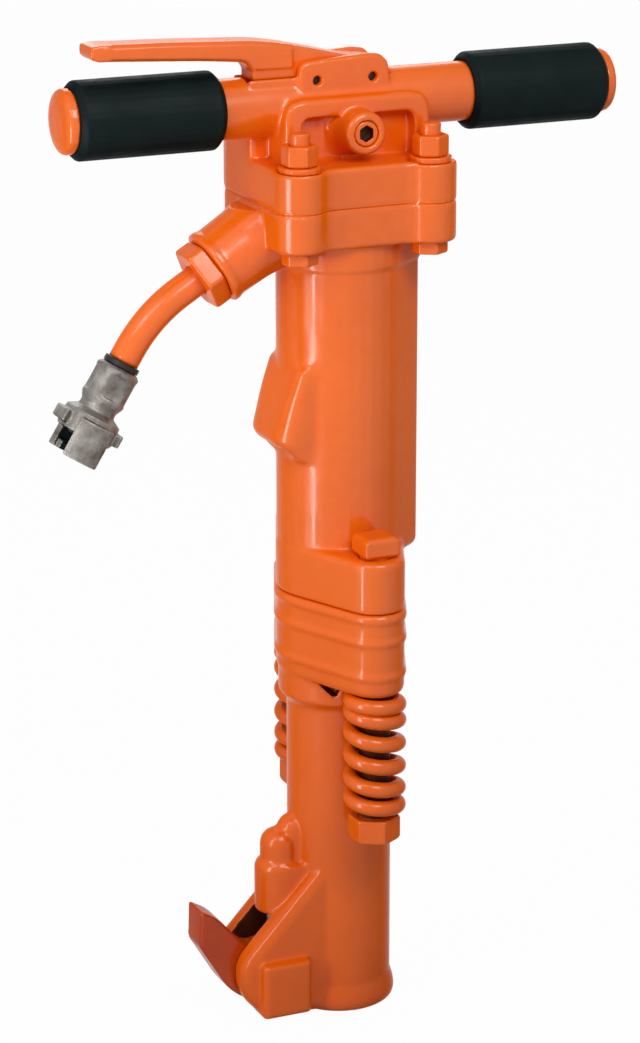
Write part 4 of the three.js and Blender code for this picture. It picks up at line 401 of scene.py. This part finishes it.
def shank_and_shade_material():
    """Dark look of painted shade: the side bolts' shank between the spring's turns, and hollows."""
    n = Look("bolt_shank_and_painted_shade")
    n.set(Base_Color=n.mix(n.ramp(n.noise(90.0), 0.35, 0.7), SHANK_SHADE_DARK, SHANK_SHADE_LIGHT))
    n.set(Roughness=n.clouds(140.0, 3.0, 0.45, 0.65), Specular_IOR_Level=0.2)
    n.set(Normal=n.bump(n.noise(400.0), 0.3, 0.0003))
    return n.mat


PAINT = paint_material()
SHADED = shank_and_shade_material()
# Shaded copy of the paint for the latch: painted shade all over it
LATCH_SHADED_PAINT = paint_material("latch_shaded_paint", LATCH_SHADE, 0.85, 0.85)
RUBBER = rubber_material()
LOOKS = {
    "orange_paint": PAINT,
    "grip_rubber": RUBBER,
    "gasket_rubber": gasket_material(),
    "cast_iron": cast_material(),
    "machined_steel": steel_material(
        "machined_steel", linear(150, 150, 152), linear(196, 197, 200), 0.25, 0.42, 1.0),
    "black_steel": steel_material(
        "black_steel", linear(20, 20, 22), linear(36, 36, 38), 0.4, 0.55, 0.4),
}

for node, obj in frame["nodes"].items():
    obj.data.materials.clear()
    obj.data.materials.append(LOOKS[SLOT_OF[node]])


def finish_piece(obj, *nodes, look=None):
    """Material, body and replaced nodes of a new piece."""
    obj.data.materials.clear()
    obj.data.materials.append(look or LOOKS[SLOT_OF[nodes[0]]])
    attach(obj, BODY_OF[nodes[0]])
    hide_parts(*nodes)


def new_object(name, data):
    obj = bpy.data.objects.new(name, data)
    bpy.context.scene.collection.objects.link(obj)
    return obj


def cad_copy(name, node):
    """A new object with a copy of a CAD node's mesh."""
    return new_object(name, frame["nodes"][node].data.copy())


def object_from(bm, name):
    """The bmesh as a new object with its faces turned outward."""
    bmesh.ops.recalc_face_normals(bm, faces=bm.faces)
    mesh = bpy.data.meshes.new(name)
    bm.to_mesh(mesh)
    bm.free()
    return new_object(name, mesh)


def smooth_faces(obj):
    obj.data.polygons.foreach_set("use_smooth", [True] * len(obj.data.polygons))
    obj.data.update()


def apply_modifiers(obj):
    graph = bpy.context.evaluated_depsgraph_get()
    mesh = bpy.data.meshes.new_from_object(obj.evaluated_get(graph))
    obj.modifiers.clear()
    old = obj.data
    obj.data = mesh
    bpy.data.meshes.remove(old)


def soften(obj, rounds, group=""):
    """Applies the modifiers and a number of smoothing rounds."""
    soft = obj.modifiers.new("soft", "SMOOTH")
    soft.factor = 0.5
    soft.iterations = rounds
    soft.vertex_group = group
    apply_modifiers(obj)
    smooth_faces(obj)


def subtract(obj, cutter):
    cut = obj.modifiers.new("cut", "BOOLEAN")
    cut.operation = "DIFFERENCE"
    cut.solver = "EXACT"
    cut.object = cutter
    apply_modifiers(obj)


def add_box(bm, low, high):
    """A closed box, fused into the casting by the remesh."""
    middle = [(a + b) / 2 for a, b in zip(low, high)]
    size = [b - a for a, b in zip(low, high)]
    place = Matrix.Translation(middle) @ Matrix.Diagonal((*size, 1.0))
    bmesh.ops.create_cube(bm, size=1.0, matrix=place)


def casting(name, node, voxel=CASTING_VOXEL, rounds=8, boxes=(), cutter=None, look=None):
    """A casting: the CAD form with soft, painted-over edges."""
    obj = cad_copy(name, node)
    if cutter:
        subtract(obj, cutter)
    if boxes:
        bm = bmesh.new()
        bm.from_mesh(obj.data)
        for low, high in boxes:
            add_box(bm, low, high)
        bm.to_mesh(obj.data)
        bm.free()
    remesh = obj.modifiers.new("remesh", "REMESH")
    remesh.mode = "VOXEL"
    remesh.voxel_size = voxel
    soften(obj, rounds)
    finish_piece(obj, node, look=look)
    return obj


def melt(obj, low, high, rounds):
    """Extra softening inside a box, fading out over its border, and clear of the bore."""
    group = obj.vertex_groups.new(name="melt")
    for vertex in obj.data.vertices:
        depth = min(min(vertex.co[k] - low[k], high[k] - vertex.co[k]) for k in range(3))
        if depth > 0 and math.hypot(vertex.co.x, vertex.co.y) > BORE_CLEAR:
            group.add([vertex.index], min(1.0, depth / MELT_BORDER), "REPLACE")
    soften(obj, rounds, "melt")
    obj.vertex_groups.clear()


def paint_shade(obj, inside, look=SHADED):
    """Painted shade: a dark look for the faces that a test picks out."""
    obj.data.materials.append(look)
    for face in obj.data.polygons:
        if inside(face.center, face.normal):
            face.material_index = len(obj.data.materials) - 1


def within(value, limits):
    return limits[0] < value < limits[1]


def prism(name, near, far):
    """A closed prism between two like outlines."""
    bm = bmesh.new()
    a = [bm.verts.new(at) for at in near]
    b = [bm.verts.new(at) for at in far]
    bm.faces.new(a)
    bm.faces.new(list(reversed(b)))
    for k in range(len(a)):
        j = (k + 1) % len(a)
        bm.faces.new((a[k], b[k], b[j], a[j]))
    return object_from(bm, name)


def seat_notch():
    """Cutter for the open side of the front spring's seat, and its directions out and aside."""
    turn = math.radians(NOTCH_TURN)
    out = Vector((math.cos(turn), math.sin(turn), 0.0))
    right = Vector((-out.y, out.x, 0.0))
    ends = [
        [out * (reach * MM) + right * (side * MM) + Vector((0.0, 0.0, height * MM))
         for side, height in NOTCH_CORNERS]
        for reach in NOTCH_REACH
    ]
    return prism("seat_notch", *ends), out, right


def waist_cutter():
    """Cutter for the waist beside the right front lobe of the flange."""
    arc = [
        (WAIST_CENTRE[0] + WAIST_RADIUS * math.cos(math.radians(angle)),
         WAIST_CENTRE[1] + WAIST_RADIUS * math.sin(math.radians(angle)))
        for angle in WAIST_ARC
    ]
    outline = WAIST_START + arc + WAIST_END
    ends = [[Vector((x, y, height)) * MM for x, y in outline] for height in WAIST_HEIGHTS]
    return prism("waist", *ends)


# Castings
waist = waist_cutter()
cylinder = casting("cylinder_casting", "cylinder", cutter=waist)
for low, high, rounds in HOOD_MELTS:
    melt(cylinder, low, high, rounds)
casting("backhead_casting", "backhead", boxes=LIPS, cutter=waist)
notch, notch_out, notch_right = seat_notch()
fronthead = casting("fronthead_casting", "fronthead", cutter=notch)
bpy.data.objects.remove(notch)


def in_fronthead_hollow(at, normal):
    side, reach = at.dot(notch_right), at.dot(notch_out)
    seat = within(at.z, SEAT_HEIGHTS) and within(side, SEAT_ASIDE) and within(reach, SEAT_REACH)
    inward = normal.y * at.y < -SLOT_FACING * abs(at.y)
    slot = at.z < SLOT_TOP and within(at.x, SLOT_X) and abs(at.y) < SLOT_HALF_WIDTH and inward
    return (seat and normal.dot(notch_out) < SEAT_FACING) or slot


def in_coupling_mouth(at, normal):
    along = (at - COUPLING_START).dot(COUPLING_AXIS)
    aside = at - COUPLING_START - COUPLING_AXIS * along
    wall = normal.dot(aside.normalized()) < MOUTH_WALL_FACING
    mouth_floor = normal.dot(COUPLING_AXIS) > MOUTH_FLOOR_FACING and along < MOUTH_FLOOR_TO
    return along > MOUTH_FROM and (wall or mouth_floor)


def in_plug_socket(at, normal):
    return math.hypot(at.x, at.z - SOCKET_HEIGHT) < SOCKET_RADIUS and at.y > SOCKET_FRONT


# Painted shade in the spring seat and the latch's slot
paint_shade(fronthead, in_fronthead_hollow)
# The latch gets the shaded copy of the paint
casting("latch_forging", "latch", SMALL_VOXEL, look=LATCH_SHADED_PAINT)
casting("lever_forging", "throttle_lever", SMALL_VOXEL, 12, boxes=BLUNT_TIP)
# Painted shade: black rubber look inside the coupling's mouth
paint_shade(casting("coupling_casting", "hose_coupling", SMALL_VOXEL, 9), in_coupling_mouth, RUBBER)
casting("inlet_nut", "inlet_swivel_nut", SMALL_VOXEL, 4)

for place in range(1, 5):
    casting(f"flange_nut_{place}", f"backhead_nut_{place}", SMALL_VOXEL, 4)
    casting(f"flange_bolt_{place}", f"backhead_bolt_{place}", SMALL_VOXEL, 4)
    casting(f"flange_washer_{place}", f"backhead_washer_{place}", WASHER_VOXEL, 3)
for place in ("front", "rear"):
    spring_low, spring_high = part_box(f"side_spring_{place}")
    bolt = casting(f"lug_bolt_{place}", f"side_bolt_{place}", SMALL_VOXEL, 8)
    # Painted shade on the bolt's shank where the side spring's turns hide it
    paint_shade(bolt, lambda at, normal: spring_low[2] < at.z < spring_high[2] + SHANK_MARGIN)
    casting(f"lug_nut_{place}", f"side_nut_{place}", SMALL_VOXEL, 5)
for side in ("left", "right"):
    casting(f"{side}_hand_grip", f"{side}_grip", SMALL_VOXEL, 4)
    casting(f"{side}_tube_cap", f"{side}_end_cap", SMALL_VOXEL, 6)
# Painted shade in the plug's socket
paint_shade(casting("filler_plug", "oil_filler_plug", PLUG_VOXEL, 3), in_plug_socket)


def joint_film(name, node, low, high):
    """Paint over the flange joint: the flange just beside the joint, a little inset."""
    obj = cad_copy(name, node)
    subtract(obj, waist)
    bm = bmesh.new()
    bm.from_mesh(obj.data)
    for height, up in ((low, -1.0), (high, 1.0)):
        bmesh.ops.bisect_plane(
            bm, geom=bm.verts[:] + bm.edges[:] + bm.faces[:],
            plane_co=(0, 0, height), plane_no=(0, 0, up), clear_outer=True)
    for vertex in bm.verts:
        vertex.co.x *= FILM_INSET
        vertex.co.y *= FILM_INSET
        if abs(vertex.co.z - JOINT_Z) < JOINT_SNAP:
            vertex.co.z = JOINT_Z
    bm.to_mesh(obj.data)
    bm.free()
    obj.data.materials.clear()
    obj.data.materials.append(PAINT)
    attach(obj, BODY_OF[node])


for film in FILMS:
    joint_film(*film)
bpy.data.objects.remove(waist)


# Swept and turned pieces
def circle(centre, side, lift, radius, sides):
    """Points of a circle in the plane of two directions."""
    angles = [2 * math.pi * turn / sides for turn in range(sides)]
    return [
        centre + side * (radius * math.cos(angle)) + lift * (radius * math.sin(angle))
        for angle in angles
    ]


def join_rings(bm, near, far):
    """Faces between two rings of equally many corners."""
    for k in range(len(near)):
        j = (k + 1) % len(near)
        bm.faces.new((near[k], near[j], far[j], far[k]))


def swept(name, path, radius, sides, flat_ends=None):
    """A round bar along a path, closed at both ends."""
    bm = bmesh.new()
    rings = []
    side = None
    for place, point in enumerate(path):
        ahead = path[min(place + 1, len(path) - 1)] - path[max(place - 1, 0)]
        ahead.normalize()
        if side is None:
            side = ahead.orthogonal().normalized()
        side = (side - ahead * side.dot(ahead)).normalized()
        corners = circle(point, side, ahead.cross(side), radius, sides)
        if flat_ends:
            for at in corners:
                at.z = min(max(at.z, flat_ends[0]), flat_ends[1])
        rings.append([bm.verts.new(at) for at in corners])
    for near, far in zip(rings, rings[1:]):
        join_rings(bm, near, far)
    bm.faces.new(list(reversed(rings[0])))
    bm.faces.new(rings[-1])
    obj = object_from(bm, name)
    smooth_faces(obj)
    return obj


def turned(name, origin, along, profile, sides):
    """A turned form: radius and height pairs along an axis."""
    side = along.orthogonal().normalized()
    lift = along.cross(side)
    bm = bmesh.new()
    rings = [
        [bm.verts.new(at) for at in circle(origin + along * height, side, lift, radius, sides)]
        for radius, height in profile
    ]
    for near, far in zip(rings, rings[1:] + rings[:1]):
        join_rings(bm, near, far)
    obj = object_from(bm, name)
    smooth_faces(obj)
    return obj


def coil_path(centre, knots, radius, start):
    """Left-handed coil through heights given at numbers of turns."""
    leans = []
    for k in range(len(knots)):
        (t0, z0), (t1, z1) = knots[max(k - 1, 0)], knots[min(k + 1, len(knots) - 1)]
        leans.append((z1 - z0) / (t1 - t0))
    path = []
    for step in range(int(knots[-1][0] * COIL_STEPS) + 1):
        turn = step / COIL_STEPS
        k = max(j for j in range(len(knots) - 1) if knots[j][0] <= turn)
        (t0, z0), (t1, z1) = knots[k], knots[k + 1]
        span = t1 - t0
        share = (turn - t0) / span
        height = (
            (2 * share**3 - 3 * share**2 + 1) * z0
            + (share**3 - 2 * share**2 + share) * leans[k] * span
            + (3 * share**2 - 2 * share**3) * z1
            + (share**3 - share**2) * leans[k + 1] * span)
        angle = start - 2 * math.pi * turn
        path.append(Vector((
            centre[0] + radius * math.cos(angle), centre[1] + radius * math.sin(angle), height)))
    return path


for place, offset, start in SIDE_SPRINGS:
    low, high = (corner[2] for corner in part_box(f"side_spring_{place}"))
    first, last = low + SPRING_WIRE / 2, high - SPRING_WIRE / 2
    knots = [(turn, first + (last - first) * share) for turn, share in SPRING_KNOTS]
    route = coil_path((0.0, offset), knots, SPRING_RADIUS, math.radians(start))
    spring = swept(f"recoil_spring_{place}", route, SPRING_WIRE / 2, SPRING_SIDES, (low, high))
    finish_piece(spring, f"side_spring_{place}")
    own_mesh(spring)

for name, node, joint, fixed_high, travel in INNER_SPRINGS:
    low, high = (corner[2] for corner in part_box(node))
    spring = cad_copy(name, node)
    smooth_faces(spring)
    finish_piece(spring, node)
    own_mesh(spring)

bend_start = BOSS_FACE + BOSS_OUT * PIPE_STRAIGHT
bend_corner = bend_start + BOSS_OUT * PIPE_BEND
bend_end = bend_corner + PIPE_OUT * PIPE_BEND
pipe_end = bend_end + PIPE_OUT * PIPE_TAIL
route = [BOSS_FACE.lerp(bend_start, step / STRAIGHT_STEPS) for step in range(STRAIGHT_STEPS)]
for step in range(BEND_STEPS + 1):
    share = step / BEND_STEPS
    route.append(bend_start.lerp(bend_corner, share).lerp(bend_corner.lerp(bend_end, share), share))
route += [bend_end.lerp(pipe_end, step / TAIL_STEPS) for step in range(1, TAIL_STEPS + 1)]
finish_piece(swept("inlet_goose_neck", route, PIPE_RADIUS, PIPE_SIDES), "inlet_pipe")

ring_start = pipe_end + PIPE_OUT * RING_GAP
finish_piece(turned("thread_collar", ring_start, PIPE_OUT, RING_PROFILE, RING_SIDES), "thread_ring")

# Floor: grey for the light, and nearly white where the camera looks
floor_mesh = bpy.data.meshes.new("floor")
floor_corners = [(x * FLOOR_HALF, y * FLOOR_HALF, 0) for x, y in ((-1, -1), (1, -1), (1, 1), (-1, 1))]
floor_mesh.from_pydata(floor_corners, [], [(0, 1, 2, 3)])
floor = new_object("floor", floor_mesh)
floor_look = Look("floor_look")
floor_look.set(Base_Color=(FLOOR_GREY, FLOOR_GREY, FLOOR_GREY, 1.0), Roughness=0.9)
glow = floor_look.node("ShaderNodeEmission", Color=WHITE, Strength=1.0)
blend = floor_look.node("ShaderNodeMixShader")
floor_look.put(blend, "Fac", floor_look.math("MULTIPLY", floor_look.seen(), FLOOR_WHITE))
floor_look.put(blend, "i1", floor_look.bsdf.outputs[0])
floor_look.put(blend, "i2", glow.outputs[0])
surface = floor_look.tree.nodes["Material Output"]
floor_look.put(surface, "Surface", blend.outputs[0])
floor_mesh.materials.append(floor_look.mat)
floor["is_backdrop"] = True

# World: white where the camera looks, dimmer as light
world = bpy.data.worlds.new("studio")
bpy.context.scene.world = world
world.use_nodes = True
sky = Tree(world.node_tree)
background = sky.tree.nodes["Background"]
sky.put(background, "Color", WHITE)
sky.put(background, "Strength", sky.ramp(sky.seen(), 0.0, 1.0, WORLD_LIGHT, 1.0))


def softbox(name, at, target, size, power):
    """A rectangular lamp that the camera doesn't see."""
    data = bpy.data.lights.new(name, "AREA")
    data.shape = "RECTANGLE"
    data.size, data.size_y = size
    data.energy = power
    lamp = new_object(name, data)
    lamp.location = at
    lamp.visible_camera = False
    lamp.rotation_euler = (Vector(target) - Vector(at)).to_track_quat("-Z", "Y").to_euler()


for name, angle, reach, height, aim, size, power in LAMPS:
    turn = math.radians(angle - CAMERA_YAW)
    lamp_at = (-math.sin(turn) * reach, -math.cos(turn) * reach, height)
    softbox(name, lamp_at, (0.0, 0.0, aim), size, power)

camera_data = bpy.data.cameras.new("camera")
camera_data.sensor_fit = "VERTICAL"
camera_data.sensor_height = SENSOR
camera_data.lens = FOCAL_PX / PHOTO_HEIGHT * SENSOR
camera = new_object("camera", camera_data)
camera.location = CAMERA_AT
camera.rotation_euler = (math.pi / 2 - math.radians(CAMERA_PITCH), 0.0, math.radians(CAMERA_YAW))
bpy.context.scene.camera = camera
bpy.context.scene.view_settings.view_transform = "Standard"

low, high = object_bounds()
